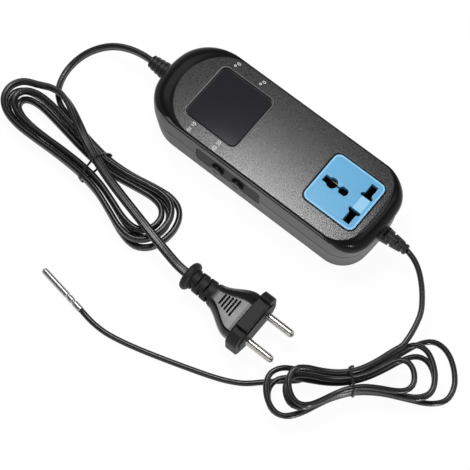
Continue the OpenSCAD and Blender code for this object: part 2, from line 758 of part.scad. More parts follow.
module lead(path, a, b, sides, turn0 = 0, turn1 = 0) {
    m = len(path);
    n = sides;
    polyhedron(
        points = [for (i = [0:m - 1]) each lead_ring(path[i], heading(path, i), a, b, n, blend(turn0, turn1, twist(i / (m - 1))))],
        faces = concat(
            [for (k = [1:n - 2]) [0, k, k + 1]],
            [for (i = [0:m - 2]) for (k = [0:n - 1]) each [
                [i * n + k, (i + 1) * n + k, i * n + (k + 1) % n],
                [i * n + (k + 1) % n, (i + 1) * n + k, (i + 1) * n + (k + 1) % n]
            ]],
            [for (k = [1:n - 2]) [(m - 1) * n, (m - 1) * n + k + 1, (m - 1) * n + k]]
        ),
        convexity = 12
    );
}

// A hank is one lead wound into a long loop that a tie draws in at the waist.
// It spirals in and out in layers, and climbs a layer along the run where it turns back.
steps_per_loop = 24;
climb = 0.5;
function smooth(x) = let (c = min(1, max(0, x))) c * c * (3 - 2 * c);
function blend(a, b, q) = a + (b - a) * q;

// Sizes of a hank: centre, direction, loops, layers, first angle and sense, then for the
// outer and the inner loop the reach ahead and behind, half the waist, and both bulges
MAINS_HANK = [[-81, -71.5], -5.1, 3.916, 2, 117, -1, [63.7, 54], [77.7, 64], [10.7, 2.1], [36, 20], [21, 11]];
PROBE_HANK = [[120.4, -80.3], 48, 4.136, 4, 56, 1, [64.5, 50], [58.5, 45], [6.2, 2], [46, 24], [37, 20]];
mains_step = mains_width + 0.8;
probe_step = probe_lead_d + 0.6;
tie_thick = 1;
tie_w = 2.2;
waist_lift = tie_thick + soft_gap;
tip_lift = probe_lead_d + 1.2;
// Height at which the mains lead leaves, lying flat on top of its hank
pass_z = waist_lift + mains_width + mains_step + 2 * soft_gap + mains_thick / 2;
// How far each higher layer falls short of the one below, as shares of reach and bulge
mains_fan_share = 0.04;
probe_fan_share = 0.11;

function spiral(h, t) = let (u = t * h[3] / h[2], k = floor(u)) k % 2 == 0 ? u - k : 1 - u + k;
function level(h, t) = h[3] < 2 ? 0
    : [for (k = [1:h[3] - 1]) smooth((t - k * h[2] / h[3]) / climb + 0.5)] * [for (k = [1:h[3] - 1]) 1];

function hank_point(h, t, low, step, from_top, fan_share, tip) =
    let (
        f = h[4] + h[5] * 360 * t,
        c = cos(f),
        q = spiral(h, t),
        up = level(h, t),
        shrink = 1 - fan_share * (from_top ? h[3] - 1 - up : up),
        reach = shrink * blend(h[c > 0 ? 6 : 7][0], h[c > 0 ? 6 : 7][1], q),
        bulge = shrink * blend(h[c > 0 ? 9 : 10][0], h[c > 0 ? 9 : 10][1], q),
        s = reach * c,
        n = sin(f) * (blend(h[8][0], h[8][1], q) + bulge * c * c)
    )
    [
        h[0].x + s * cos(h[1]) - n * sin(h[1]), h[0].y + s * sin(h[1]) + n * cos(h[1]),
        low + step * (from_top ? h[3] - 1 - up : up) + waist_lift * pow(sin(f), 6) + (c < 0 ? tip * smooth(-1.7 * c - 0.5) : 0)
    ];

// The hank's own line, with a straight end of one thickness at both ends
function hank_path(h, low, step, from_top, fan_share, tip, stub) =
    let (
        n = ceil(h[2] * steps_per_loop),
        p = [for (i = [0:n]) hank_point(h, h[2] * i / n, low, step, from_top, fan_share, tip)],
        a = (p[0] - p[1]) / norm(p[0] - p[1]),
        b = (p[n] - p[n - 1]) / norm(p[n] - p[n - 1])
    )
    concat([p[0] + stub * [a.x, a.y, 0]], p, [p[n] + stub * [b.x, b.y, 0]]);

MAINS_LOOPS = hank_path(MAINS_HANK, mains_width / 2, mains_step, false, mains_fan_share, 0, mains_width);
PROBE_LOOPS = hank_path(PROBE_HANK, probe_lead_d / 2, probe_step, true, probe_fan_share, tip_lift, probe_lead_d);

// Least gap of a wound lead to itself, on points three to a step, with heights scaled
// so that a flat lead counts as a round one
function finer(p) = [for (i = [0:len(p) - 2]) for (k = [0:2]) p[i] + (p[i + 1] - p[i]) * k / 3];
function least_gap(p, d, squeeze) =
    let (f = [for (v = finer(p)) [v.x, v.y, v.z * squeeze]], n = len(f), skip = 12)
    min([for (i = [0:n - skip - 1]) min([for (j = [i + skip:n - 1]) norm(f[i] - f[j])])]) - d;

echo(mains_hank_gap = least_gap(MAINS_LOOPS, mains_thick, mains_thick / mains_width));
echo(probe_hank_gap = least_gap(PROBE_LOOPS, probe_lead_d, 1));

// The free stretches: points chosen by hand, ending square on the hanks
function last(p) = p[len(p) - 1];
function before(p, d) = let (u = (p[0] - p[1]) / norm(p[0] - p[1])) [p[0] + d * u, p[0]];
function after(p, d) = let (n = len(p) - 1, u = (p[n] - p[n - 1]) / norm(p[n] - p[n - 1])) [p[n], p[n] + d * u];

MAINS_ROUTE = concat([
    [left_wall_x - mains_boot_l, 0, seam_height], [-101.5, -0.2, 19.2], [-109, -1, 17.6], [-117, -3.1, 15.4],
    [-124.2, -6.5, 12.4], [-130.3, -11.8, 9.4], [-134.7, -18.6, 6.8], [-137, -26.4, 4.6], [-137, -34.4, 3.3],
    [-134.8, -42, 2.9], [-131.2, -47.6, 2.9], [-126.6, -51.4, 2.9]
], before(MAINS_LOOPS, 1));
PLUG_ROUTE = concat(after(MAINS_LOOPS, 1), [
    [-129, -48.6, 11], [-121.5, -50.2, 13.6], [-114, -53.2, 15.6], [-106.5, -57, 16.4], [-98, -61.4, 16.6],
    [-89, -65.6, pass_z], [-79.5, -69.4, pass_z], [-66, -74, 16.2], [-52, -77.7, 16.2], [-40, -80.6, 16.2],
    [-29, -83.3, 16.2], [-18, -85.8, 15.6], [-7, -88, 14.2], [0, -89.1, 13.3], [plug_x, plug_y, plug_z]
]);
PROBE_ROUTE = concat([
    [right_wall_x + probe_boot_l, 0, seam_height], [103, -1.2, 19.4], [109.5, -4.5, 18.8], [116, -10, 17.8],
    [122, -17, 16.8], [127, -25.5, 15.8]
], before(PROBE_LOOPS, 6));
TAIL_ROUTE = concat(after(PROBE_LOOPS, 4), [
    [95, -96, 1.7], [87, -103, 1.7], [79.5, -110, 1.7], [72, -117, 1.7], [63.5, -122, 1.7], [54, -126, 1.7],
    [44, -129.5, 1.7], [33.5, -133, 1.7], [22.5, -136.5, 1.7], [11.5, -139.8, 1.7], [0.5, -142.6, 1.7],
    [-10, -144.4, 1.7], [-20, -144.4, 1.8], [probe_at.x, probe_at.y, probe_d / 2]
]);

module mains_lead() {
    color([0.05, 0.05, 0.06]) lead(MAINS_ROUTE, mains_thick / 2, mains_width / 2, 8);
}

module mains_hank() {
    color([0.05, 0.05, 0.06]) lead(MAINS_LOOPS, mains_thick / 2, mains_width / 2, 6);
}

// The flat lead leaves its hank over the top, through the tie, and enters the plug lying flat
module plug_lead() {
    color([0.05, 0.05, 0.06]) lead(PLUG_ROUTE, mains_thick / 2, mains_width / 2, 8, 0, 90);
}

module probe_lead() {
    color([0.05, 0.05, 0.06]) lead(PROBE_ROUTE, probe_lead_d / 2, probe_lead_d / 2, 8);
}

module probe_hank() {
    color([0.05, 0.05, 0.06]) lead(PROBE_LOOPS, probe_lead_d / 2, probe_lead_d / 2, 6);
}

module probe_tail() {
    color([0.05, 0.05, 0.06]) lead(TAIL_ROUTE, probe_lead_d / 2, probe_lead_d / 2, 8);
}

// Band round the waist of a hank, with its twisted end
module tie(h, half, high) {
    inner_w = 2 * (h[8][0] + half + 2 * soft_gap);
    inner_h = high + 2 * soft_gap;
    translate([h[0].x, h[0].y, tie_thick]) rotate(h[1]) {
        rotate([90, 0, 90]) translate([0, inner_h / 2, -tie_w / 2]) linear_extrude(tie_w) difference() {
            round_rect(inner_w + 2 * tie_thick, inner_h + 2 * tie_thick, half + tie_thick);
            round_rect(inner_w, inner_h, half);
        }
        translate([tie_w / 2, 0, inner_h + tie_thick / 2]) rotate([0, 90, 0]) cylinder(h = 2 * tie_w, r = 0.45 * tie_thick);
    }
}

module mains_tie() {
    color([0.04, 0.04, 0.05]) tie(MAINS_HANK, mains_thick / 2, pass_z + mains_thick / 2 - tie_thick - soft_gap / 2);
}

module probe_tie() {
    color([0.04, 0.04, 0.05]) tie(PROBE_HANK, probe_lead_d / 2, probe_lead_d + 3 * probe_step);
}

// Half width of the plug's body along its length, and the ring of points there
function plug_half(u) = blend(1.12 * neck_r, 0.42 * collar_width, smooth(u));
function plug_ring(x, u) =
    let (w = plug_half(u), h = blend(neck_r, 0.31 * collar_height, u), t = blend(0.1, 0.46, smooth(u)) * w, m = 0.35 * h)
    [for (p = [[w, -m], [w, m], [(w + t) / 2, 0.8 * h], [t, h], [-t, h], [-(w + t) / 2, 0.8 * h], [-w, m],
        [-w, -m], [-(w + t) / 2, -0.8 * h], [-t, -h], [t, -h], [(w + t) / 2, -0.8 * h]]) [x, p.x, p.y]];

module plug_body() {
    body_x = ring_thick + neck_l;
    flare = plug_tail - body_x;
    slot = neck_l / 8;
    color([0.06, 0.06, 0.07]) translate([plug_x, plug_y, plug_z]) difference() {
        union() {
            rotate([0, 90, 0]) rotate_extrude() {
                square([ring_r - ring_thick / 2, ring_thick]);
                translate([ring_r - ring_thick / 2, ring_thick / 2]) circle(ring_thick / 2);
            }
            difference() {
                translate([ring_thick / 2, 0, 0]) rotate([0, 90, 0])
                    cylinder(h = neck_l + ring_thick / 2 + over, r1 = neck_r, r2 = 1.1 * neck_r);
                for (k = [0:4]) for (s = [-1, 1]) translate([ring_thick + (k + 0.6) * neck_l / 5, 0, 0]) rotate([k % 2 == 0 ? 90 : 0, 0, 0])
                    translate([0, 0, s * (0.62 * neck_r + neck_r)]) cube([slot, 4 * neck_r, 2 * neck_r], center = true);
            }
            loft([for (k = [0:9]) plug_ring(body_x + flare * 0.86 * k / 9, k / 9)]);
            loft([for (k = [0:1]) plug_ring(body_x + flare * (k == 0 ? 0.84 : 1) + k * over / 2, 1)]);
            // Collar with round corners, and the low face round the pins
            translate([plug_tail, 0, 0]) rotate([90, 0, 90]) {
                linear_extrude(collar_thick) round_rect(collar_width, collar_height, 0.3 * collar_height);
                linear_extrude(collar_thick + over) round_rect(0.84 * collar_width, 0.7 * collar_height, 0.25 * collar_height);
            }
        }
        // Grooves on both sides of the collar
        for (sy = [-1, 1], sz = [-1, 1]) translate([plug_tail - over, sy * 0.56 * pin_pitch - pin_d / 2.4, sz * (collar_height / 2 - pin_d / 2) - pin_d / 2])
            cube([collar_thick + 3 * over, pin_d / 1.2, pin_d]);
        // Grip lines across the flat of both faces
        for (k = [0:4], s = [-1, 1]) translate([body_x + flare * (0.2 + 0.08 * k), 0, s * blend(neck_r, 0.31 * collar_height, 0.36)])
            cube([flare / 26, 0.26 * collar_width, neck_r / 5], center = true);
        for (s = [-1, 1]) translate([plug_tail - pin_d, s * pin_pitch / 2, 0]) rotate([0, 90, 0])
            cylinder(h = collar_thick + 2 * pin_d, r = shank_r + run_gap / 2);
    }
}

// Two round pins, each on a thinner shank inside the plug
module plug_pins() {
    base = collar_thick + over + pin_d;
    tip = 0.3 * pin_d;
    color([0.78, 0.78, 0.76]) for (s = [-1, 1])
        translate([plug_x + plug_tail - pin_d, plug_y + s * pin_pitch / 2, plug_z]) rotate([0, 90, 0]) rotate_extrude()
            polygon(concat(
                [[0, 0], [shank_r, 0], [shank_r, base], [pin_d / 2, base], [pin_d / 2, base + pin_length - tip]],
                [for (a = [22.5:22.5:90]) [pin_d / 2 - tip + tip * cos(a), base + pin_length - tip + tip * sin(a)]],
                [[0, base + pin_length]]
            ));
}

// Closed steel tube, pressed on to the lead in two places
module probe_tube() {
    r = probe_d / 2;
    crimp = 0.12 * probe_d;
    color([0.75, 0.75, 0.76]) translate([probe_at.x, probe_at.y, r]) rotate([0, 90, probe_turn]) rotate_extrude()
        polygon(concat(
            [[0, 0], [r, 0]],
            [for (x = [0.16, 0.3]) each [
                [r, x * probe_length], [r - crimp, (x + 0.02) * probe_length],
                [r - crimp, (x + 0.05) * probe_length], [r, (x + 0.07) * probe_length]
            ]],
            [for (a = [0:15:90]) [r * cos(a), probe_length - r + r * sin(a)]]
        ));
}

upper_shell();
lower_shell();
display_window();
button_panel();
up_button();
down_button();
outlet_face();
outlet_body();
outlet_base();
live_contact();
neutral_contact();
earth_contact();
main_board();
display_board();
key_board();
upper_digits();
lower_digits();
key_switches();
up_plunger();
down_plunger();
relay();
dropper_capacitor();
smoothing_capacitor();
surge_disc();
fuse();
controller_chip();
probe_header();
lead_clamp();
clamp_screws();
case_screws();
mains_boot();
probe_boot();
mains_core();
mains_lead();
mains_hank();
mains_tie();
plug_lead();
plug_body();
plug_pins();
probe_lead();
probe_hank();
probe_tie();
probe_tail();
probe_tube();
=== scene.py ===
"""Dresses a plug-in temperature controller: housing, outlet, buttons, leads, plug and probe."""
import math

import bmesh
import bpy
from mathutils import Matrix, Vector


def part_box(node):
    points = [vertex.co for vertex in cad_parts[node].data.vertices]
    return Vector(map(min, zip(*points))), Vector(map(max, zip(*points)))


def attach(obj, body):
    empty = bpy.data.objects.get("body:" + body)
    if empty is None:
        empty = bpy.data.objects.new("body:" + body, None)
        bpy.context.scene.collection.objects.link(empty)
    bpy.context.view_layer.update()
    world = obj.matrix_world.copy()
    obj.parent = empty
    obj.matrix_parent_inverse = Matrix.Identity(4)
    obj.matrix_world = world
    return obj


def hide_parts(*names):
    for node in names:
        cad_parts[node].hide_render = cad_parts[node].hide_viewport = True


bl_info = {
    "name": "Temperature Controller Dressing",
    "version": (1, 0, 0),
    "blender": (4, 5, 0),
    "location": "3D View > Sidebar > Controller",
    "description": "Builds the visible pieces and finishes of a plug-in temperature controller",
    "category": "Object",
}

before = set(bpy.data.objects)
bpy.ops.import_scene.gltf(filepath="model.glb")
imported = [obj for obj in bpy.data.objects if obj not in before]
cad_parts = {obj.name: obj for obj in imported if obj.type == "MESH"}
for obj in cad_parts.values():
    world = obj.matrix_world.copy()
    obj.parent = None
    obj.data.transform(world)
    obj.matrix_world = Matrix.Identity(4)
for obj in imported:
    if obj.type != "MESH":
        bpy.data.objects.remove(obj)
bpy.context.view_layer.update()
MM = 0.001
BODY = "controller"

# The leads, in millimetres
MAINS_WIDTH, MAINS_THICK, PROBE_D = 5.8, 3.6, 3.4


class HousingSettings(bpy.types.PropertyGroup):
    length: bpy.props.FloatProperty(
        name="Length", description="Housing over both ends", default=163 * MM, unit="LENGTH")
    width: bpy.props.FloatProperty(
        name="Width", description="Housing at its parting line", default=60 * MM, unit="LENGTH")
    height: bpy.props.FloatProperty(
        name="Height", description="Housing without its outlet", default=36.8 * MM, unit="LENGTH")
    seam: bpy.props.FloatProperty(
        name="Seam", description="Height of the parting line", default=19.6 * MM, unit="LENGTH")
    wall: bpy.props.FloatProperty(
        name="Wall", description="Thickness of both shells", default=2.2 * MM, unit="LENGTH")
    top_colour: bpy.props.FloatVectorProperty(
        name="Top", description="Textured top", subtype="COLOR", size=3, default=(0.020, 0.020, 0.0205))
    side_colour: bpy.props.FloatVectorProperty(
        name="Side", description="Lower shell", subtype="COLOR", size=3, default=(0.085, 0.085, 0.087))


class OutletSettings(bpy.types.PropertyGroup):
    x: bpy.props.FloatProperty(
        name="Place", description="Centre along the housing", default=50.9 * MM, unit="LENGTH")
    length: bpy.props.FloatProperty(
        name="Length", description="Insert along the housing", default=36 * MM, unit="LENGTH")
    width: bpy.props.FloatProperty(
        name="Width", description="Insert across the housing", default=35 * MM, unit="LENGTH")
    corner: bpy.props.FloatProperty(
        name="Corner", description="Corner radius of the insert", default=4 * MM, unit="LENGTH")
    colour: bpy.props.FloatVectorProperty(
        name="Colour", description="Moulded insert", subtype="COLOR", size=3, default=(0.076, 0.310, 0.525))


class LeadSettings(bpy.types.PropertyGroup):
    mains_width: bpy.props.FloatProperty(
        name="Mains width", description="Flat mains lead across", default=MAINS_WIDTH * MM, unit="LENGTH")
    mains_thick: bpy.props.FloatProperty(
        name="Mains thickness", description="Flat mains lead through", default=MAINS_THICK * MM, unit="LENGTH")
    probe_d: bpy.props.FloatProperty(
        name="Probe lead", description="Diameter of the probe lead", default=PROBE_D * MM, unit="LENGTH")
    colour: bpy.props.FloatVectorProperty(
        name="Colour", description="Jacket of both leads", subtype="COLOR", size=3,
        default=(0.006, 0.006, 0.0065))


class StageSettings(bpy.types.PropertyGroup):
    distance: bpy.props.FloatProperty(
        name="Camera distance", description="Camera to the middle of the view", default=0.89193, unit="LENGTH")
    azimuth: bpy.props.FloatProperty(
        name="Azimuth", description="Camera round the housing", default=math.radians(39.11), subtype="ANGLE")
    elevation: bpy.props.FloatProperty(
        name="Elevation", description="Camera above the floor", default=math.radians(70.0), subtype="ANGLE")
    lens: bpy.props.FloatProperty(name="Lens", description="Focal length in millimetres", default=114.93)


def housing():
    return bpy.context.scene.controller_housing


def outlet():
    return bpy.context.scene.controller_outlet


def leads():
    return bpy.context.scene.controller_leads


def studio():
    return bpy.context.scene.controller_stage


# Working with meshes

def deselect():
    if bpy.context.mode != "OBJECT":
        bpy.ops.object.mode_set(mode="OBJECT")
    bpy.ops.object.select_all(action="DESELECT")


def pick(piece):
    deselect()
    piece.select_set(True)
    bpy.context.view_layer.objects.active = piece
    return piece


def edit(piece, faces=None, edges=None):
    """Opens a piece in edit mode with only the faces or edges that pass the test selected."""
    pick(piece)
    bpy.ops.object.mode_set(mode="EDIT")
    bpy.ops.mesh.select_mode(type="FACE" if faces else "EDGE")
    bpy.ops.mesh.select_all(action="DESELECT")
    mesh = bmesh.from_edit_mesh(piece.data)
    for elements, wanted in ((mesh.faces, faces), (mesh.edges, edges)):
        for element in elements if wanted else ():
            if wanted(element):
                element.select_set(True)
    mesh.select_flush_mode()
    bmesh.update_edit_mesh(piece.data)


def close_edit():
    bpy.ops.object.mode_set(mode="OBJECT")


def settle(piece):
    """Puts the piece's place and turn into its mesh."""
    pick(piece)
    bpy.ops.object.transform_apply(location=True, rotation=True, scale=True)
    return piece


def modify(piece, kind, **values):
    pick(piece)
    m = piece.modifiers.new(kind.title(), kind)
    for key, value in values.items():
        setattr(m, key, value)
    bpy.ops.object.modifier_apply(modifier=m.name)
    return piece


def smooth(piece, angle=32):
    pick(piece)
    bpy.ops.object.shade_smooth_by_angle(angle=math.radians(angle))
    return modify(piece, "WEIGHTED_NORMAL", keep_sharp=True, weight=80)


def cut(piece, *tools):
    for tool in tools:
        modify(piece, "BOOLEAN", operation="DIFFERENCE", solver="MANIFOLD", object=tool)
        bpy.data.objects.remove(tool)
        if not piece.data.polygons:
            raise RuntimeError("nothing is left of " + piece.name)
    return piece


def joined(pieces, name):
    deselect()
    for p in pieces:
        p.select_set(True)
    bpy.context.view_layer.objects.active = pieces[0]
    if len(pieces) > 1:
        bpy.ops.object.join()
    pieces[0].name = name
    return pieces[0]


def dress(piece, finish):
    piece.data.materials.clear()
    piece.data.materials.append(finishes()[finish])


def place(piece, name, finish, body=BODY, stands_for=()):
    """Names and dresses a finished piece, hangs it on the empty of the body it rides on, and hides the parts it
    stands for.
    """
    piece.name = name
    piece.data.name = name
    dress(piece, finish)
    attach(piece, body)
    if stands_for:
        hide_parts(*stands_for)
    return piece


def linked(name, data):
    piece = bpy.data.objects.new(name, data)
    bpy.context.scene.collection.objects.link(piece)
    return piece


def from_points(name, points, faces):
    mesh = bpy.data.meshes.new(name)
    mesh.from_pydata([tuple(p) for p in points], [], faces)
    mesh.update()
    return linked(name, mesh)


def facing_out(piece, merge=False):
    """Turns all faces outwards, after merging doubles where asked."""
    pick(piece)
    bpy.ops.object.mode_set(mode="EDIT")
    bpy.ops.mesh.select_all(action="SELECT")
    if merge:
        bpy.ops.mesh.remove_doubles(threshold=1e-6)
    bpy.ops.mesh.normals_make_consistent(inside=False)
    close_edit()
    return piece


def mm(*values):
    """Millimetres in metres."""
    return tuple(v * MM for v in values)


def block(size, centre, corner=0.0, edge=0.0, turn=(0, 0, 0), segments=6):
    """A block with round upright corners and a small round on its upper and lower edges, in millimetres."""
    deselect()
    bpy.ops.mesh.primitive_cube_add(size=1)
    piece = bpy.context.object
    piece.scale = mm(*size)
    settle(piece)
    if corner:
        edit(piece, edges=lambda e: abs(e.verts[0].co.z - e.verts[1].co.z) > 1e-5)
        bpy.ops.mesh.bevel(offset=corner * MM, segments=segments, affect="EDGES")
        close_edit()
    if edge:
        h = size[2] * MM / 2
        edit(piece, edges=lambda e: all(abs(abs(v.co.z) - h) < 1e-6 for v in e.verts)
             and any(abs(f.normal.z) < 0.5 for f in e.link_faces))
        bpy.ops.mesh.bevel(offset=edge * MM, segments=3, affect="EDGES")
        close_edit()
    piece.rotation_euler = turn
    piece.location = mm(*centre)
    return settle(piece)


def turned(profile, centre, axis, steps=48):
    """A piece turned on a lathe from (radius, along) pairs in millimetres, about an axis through the centre."""
    deselect()
    bpy.ops.mesh.primitive_plane_add(size=1)
    piece = bpy.context.object
    edit(piece, faces=lambda f: True)
    bpy.ops.mesh.merge(type="CENTER")
    bpy.ops.mesh.select_mode(type="VERT")
    bpy.ops.mesh.select_all(action="SELECT")
    points = [mm(*pair) for pair in profile]
    r, z = points[0]
    bpy.ops.transform.translate(value=(r, 0, z))
    for r1, z1 in points[1:]:
        bpy.ops.mesh.extrude_region_move(TRANSFORM_OT_translate={"value": (r1 - r, 0, z1 - z)})
        r, z = r1, z1
    bpy.ops.mesh.select_all(action="SELECT")
    bpy.ops.mesh.spin(steps=steps, angle=2 * math.pi, center=(0, 0, 0), axis=(0, 0, 1))
    facing_out(piece, merge=True)
    piece.rotation_mode = "QUATERNION"
    piece.rotation_quaternion = Vector((0, 0, 1)).rotation_difference(Vector(axis))
    piece.location = mm(*centre)
    return settle(piece)


def curve_of(name, dimensions, lines, closed):
    """A curve of straight steps through the points of each line."""
    curve = bpy.data.curves.new(name, "CURVE")
    curve.dimensions = dimensions
    for points in lines:
        line = curve.splines.new("POLY")
        line.points.add(len(points) - 1)
        for p, q in zip(line.points, points):
            p.co = (*q, 1)
        line.use_cyclic_u = closed
    return curve


def as_mesh(piece):
    pick(piece)
    bpy.ops.object.convert(target="MESH")
    return bpy.context.object


def wire(points, radius, name, sides=3):
    """A round wire along a smooth line, as a mesh."""
    curve = curve_of(name, "3D", [points], False)
    curve.bevel_depth = radius
    curve.bevel_resolution = sides
    curve.use_fill_caps = True
    piece = as_mesh(linked(name, curve))
    for f in piece.data.polygons:
        f.use_smooth = True
    return piece


# Finishes

class Finish:
    """A small helper that builds one procedural material."""

    def __init__(self, name):
        self.material = bpy.data.materials.new(name)
        self.material.use_nodes = True
        self.tree = self.material.node_tree
        self.shader = self.tree.nodes["Principled BSDF"]
        self.coords = self.tree.nodes.new("ShaderNodeTexCoord")

    def set(self, **values):
        for key, value in values.items():
            self.shader.inputs[key.replace("_", " ")].default_value = value
        return self

    def node(self, kind, **values):
        n = self.tree.nodes.new(kind)
        for key, value in values.items():
            if key in n.inputs:
                n.inputs[key].default_value = value
            else:
                setattr(n, key, value)
        return n

    def link(self, a, b):
        self.tree.links.new(a, b)
        return self

    def noise(self, scale, detail=3.0, rough=0.5, stretch=None):
        n = self.node("ShaderNodeTexNoise", Scale=scale, Detail=detail, Roughness=rough)
        source = self.coords.outputs["Object"]
        if stretch:
            m = self.node("ShaderNodeMapping")
            m.inputs["Scale"].default_value = stretch
            self.link(source, m.inputs["Vector"])
            source = m.outputs["Vector"]
        self.link(source, n.inputs["Vector"])
        return n.outputs["Fac"]

    def ramp(self, value, low, high, a, b):
        """Maps low..high of a value to a..b."""
        m = self.node("ShaderNodeMapRange")
        m.clamp = True
        for key, v in (("From Min", low), ("From Max", high), ("To Min", a), ("To Max", b)):
            m.inputs[key].default_value = v
        self.link(value, m.inputs["Value"])
        return m.outputs["Result"]

    def past(self, value, low, high):
        """0 up to low, 1 from high on."""
        return self.ramp(value, low, high, 0, 1)

    def before(self, value, low, high):
        """1 up to low, 0 from high on."""
        return self.ramp(value, low, high, 1, 0)

    def tint(self, fac, a, b):
        m = self.node("ShaderNodeMix", data_type="RGBA")
        m.inputs[6].default_value = (*a, 1)
        m.inputs[7].default_value = (*b, 1)
        self.link(fac, m.inputs[0])
        return m.outputs[2]

    def blend(self, fac, a, b):
        m = self.node("ShaderNodeMix", data_type="RGBA")
        self.link(fac, m.inputs[0])
        self.link(a, m.inputs[6])
        self.link(b, m.inputs[7])
        return m.outputs[2]

    def maths(self, operation, a, b):
        m = self.node("ShaderNodeMath", operation=operation)
        for i, v in enumerate((a, b)):
            if isinstance(v, (int, float)):
                m.inputs[i].default_value = v
            else:
                self.link(v, m.inputs[i])
        return m.outputs[0]

    def times(self, a, b):
        return self.maths("MULTIPLY", a, b)

    def plus(self, a, b):
        return self.maths("ADD", a, b)

    def less(self, a, b):
        return self.maths("SUBTRACT", a, b)

    def larger(self, a, b):
        return self.maths("MAXIMUM", a, b)

    def power(self, a, b):
        return self.maths("POWER", a, b)

    def off_zero(self, a):
        return self.maths("ABSOLUTE", a, 0)

    def at(self):
        """The place on the piece: x, y and z in metres."""
        s = self.node("ShaderNodeSeparateXYZ")
        self.link(self.coords.outputs["Object"], s.inputs[0])
        return s.outputs

    def bump(self, value, distance, strength=1.0):
        b = self.node("ShaderNodeBump")
        b.inputs["Strength"].default_value = strength
        b.inputs["Distance"].default_value = distance
        self.link(value, b.inputs["Height"])
        self.link(b.outputs["Normal"], self.shader.inputs["Normal"])
        return self

    def paint(self, colour):
        return self.link(colour, self.shader.inputs["Base Color"])

    def rough(self, value):
        return self.link(value, self.shader.inputs["Roughness"])


def scaled(colour, k):
    return tuple(min(1.0, c * k) for c in colour)


def around(colour, part):
    """The colour a little darker and a little lighter."""
    return scaled(colour, 1 - part), scaled(colour, 1 + part)


# Painted shade: the near black of the seam's line and of the side grooves
SEAM_SHADOW = (0.004, 0.004, 0.004), (0.006, 0.006, 0.006)


def moulded(name, colour, rough=0.45, grain=900.0, depth=0.00004, vary=0.12, spec=0.5):
    """Moulded plastic: slight clouding of the colour, a fine grain, uneven polish."""
    f = Finish(name).set(Specular_IOR_Level=spec)
    cloud = f.noise(60, 2)
    fine = f.noise(grain, 3, 0.6)
    f.paint(f.tint(cloud, *around(colour, vary)))
    f.rough(f.ramp(fine, 0.3, 0.7, rough - 0.05, rough + 0.07))
    f.bump(fine, depth)
    return f.material


def outlet_plastic(name, colour):
    """Blue insert, with painted highlights: paler along its raised frame and on the bevels round its openings.
    """
    top = Shape().top
    f = Finish(name).set(Specular_IOR_Level=0.35)
    z = f.at()[2]
    # Painted highlight: the frame's top and the openings' bevels blend towards a pale blue
    raised = f.ramp(z, (top - 0.05) * MM, (top - 0.02) * MM, 0, 0.42)
    bevel = f.ramp(z, (top - 0.55) * MM, (top - 0.45) * MM, 0, 0.45)
    bevel = f.times(bevel, f.before(z, (top - 0.15) * MM, (top - 0.12) * MM))
    plain = f.tint(f.noise(60, 2), *around(colour, 0.03))
    pale = f.tint(f.noise(90, 2), (0.34, 0.66, 0.88), (0.40, 0.70, 0.90))
    f.paint(f.blend(f.larger(raised, bevel), plain, pale))
    f.rough(f.ramp(f.noise(500, 3), 0.3, 0.7, 0.32, 0.42))
    return f.material


def plug_plastic(name, colour):
    """Black moulding: polished on the flared faces, duller on the slotted neck and the collar."""
    f = Finish(name).set(Specular_IOR_Level=0.3)
    x = f.at()[0]
    f.paint(f.tint(f.noise(60, 2), *around(colour, 0.1)))
    neck = f.before(x, (PLUG_AT[0] + 21) * MM, (PLUG_AT[0] + 24) * MM)
    collar = f.past(x, (PLUG_AT[0] + COLLAR_START - 0.1) * MM, (PLUG_AT[0] + COLLAR_START) * MM)
    dull = f.ramp(f.larger(neck, collar), 0, 1, 0.25, 0.58)
    f.rough(f.plus(dull, f.ramp(f.noise(90, 2), 0.3, 0.7, -0.02, 0.02)))
    return f.material


def rounded_end(f, x, y, start, reach, power):
    """1 inside the rounded end of the textured field, 0 past it."""
    sign = 1 if start > 0 else -1
    ahead = f.larger(f.times(f.less(x, start * MM), sign / (reach * MM)), 0)
    across = f.times(f.off_zero(y), 1 / (FIELD_HALF_W * MM))
    return f.before(f.plus(f.power(ahead, power), f.power(across, power)), 0.975, 1.0)


def past_outlet(f, s, x, y):
    """Distance in millimetres outside the outlet's rounded outline."""
    sides = []
    for along, middle, half in ((x, s.outlet_x, s.outlet_l / 2), (y, 0, s.outlet_w / 2)):
        off = f.off_zero(f.less(f.times(along, 1 / MM), middle))
        sides.append(f.power(f.larger(f.less(off, half - s.outlet_r), 0), 2))
    return f.less(f.power(f.plus(*sides), 0.5), s.outlet_r)


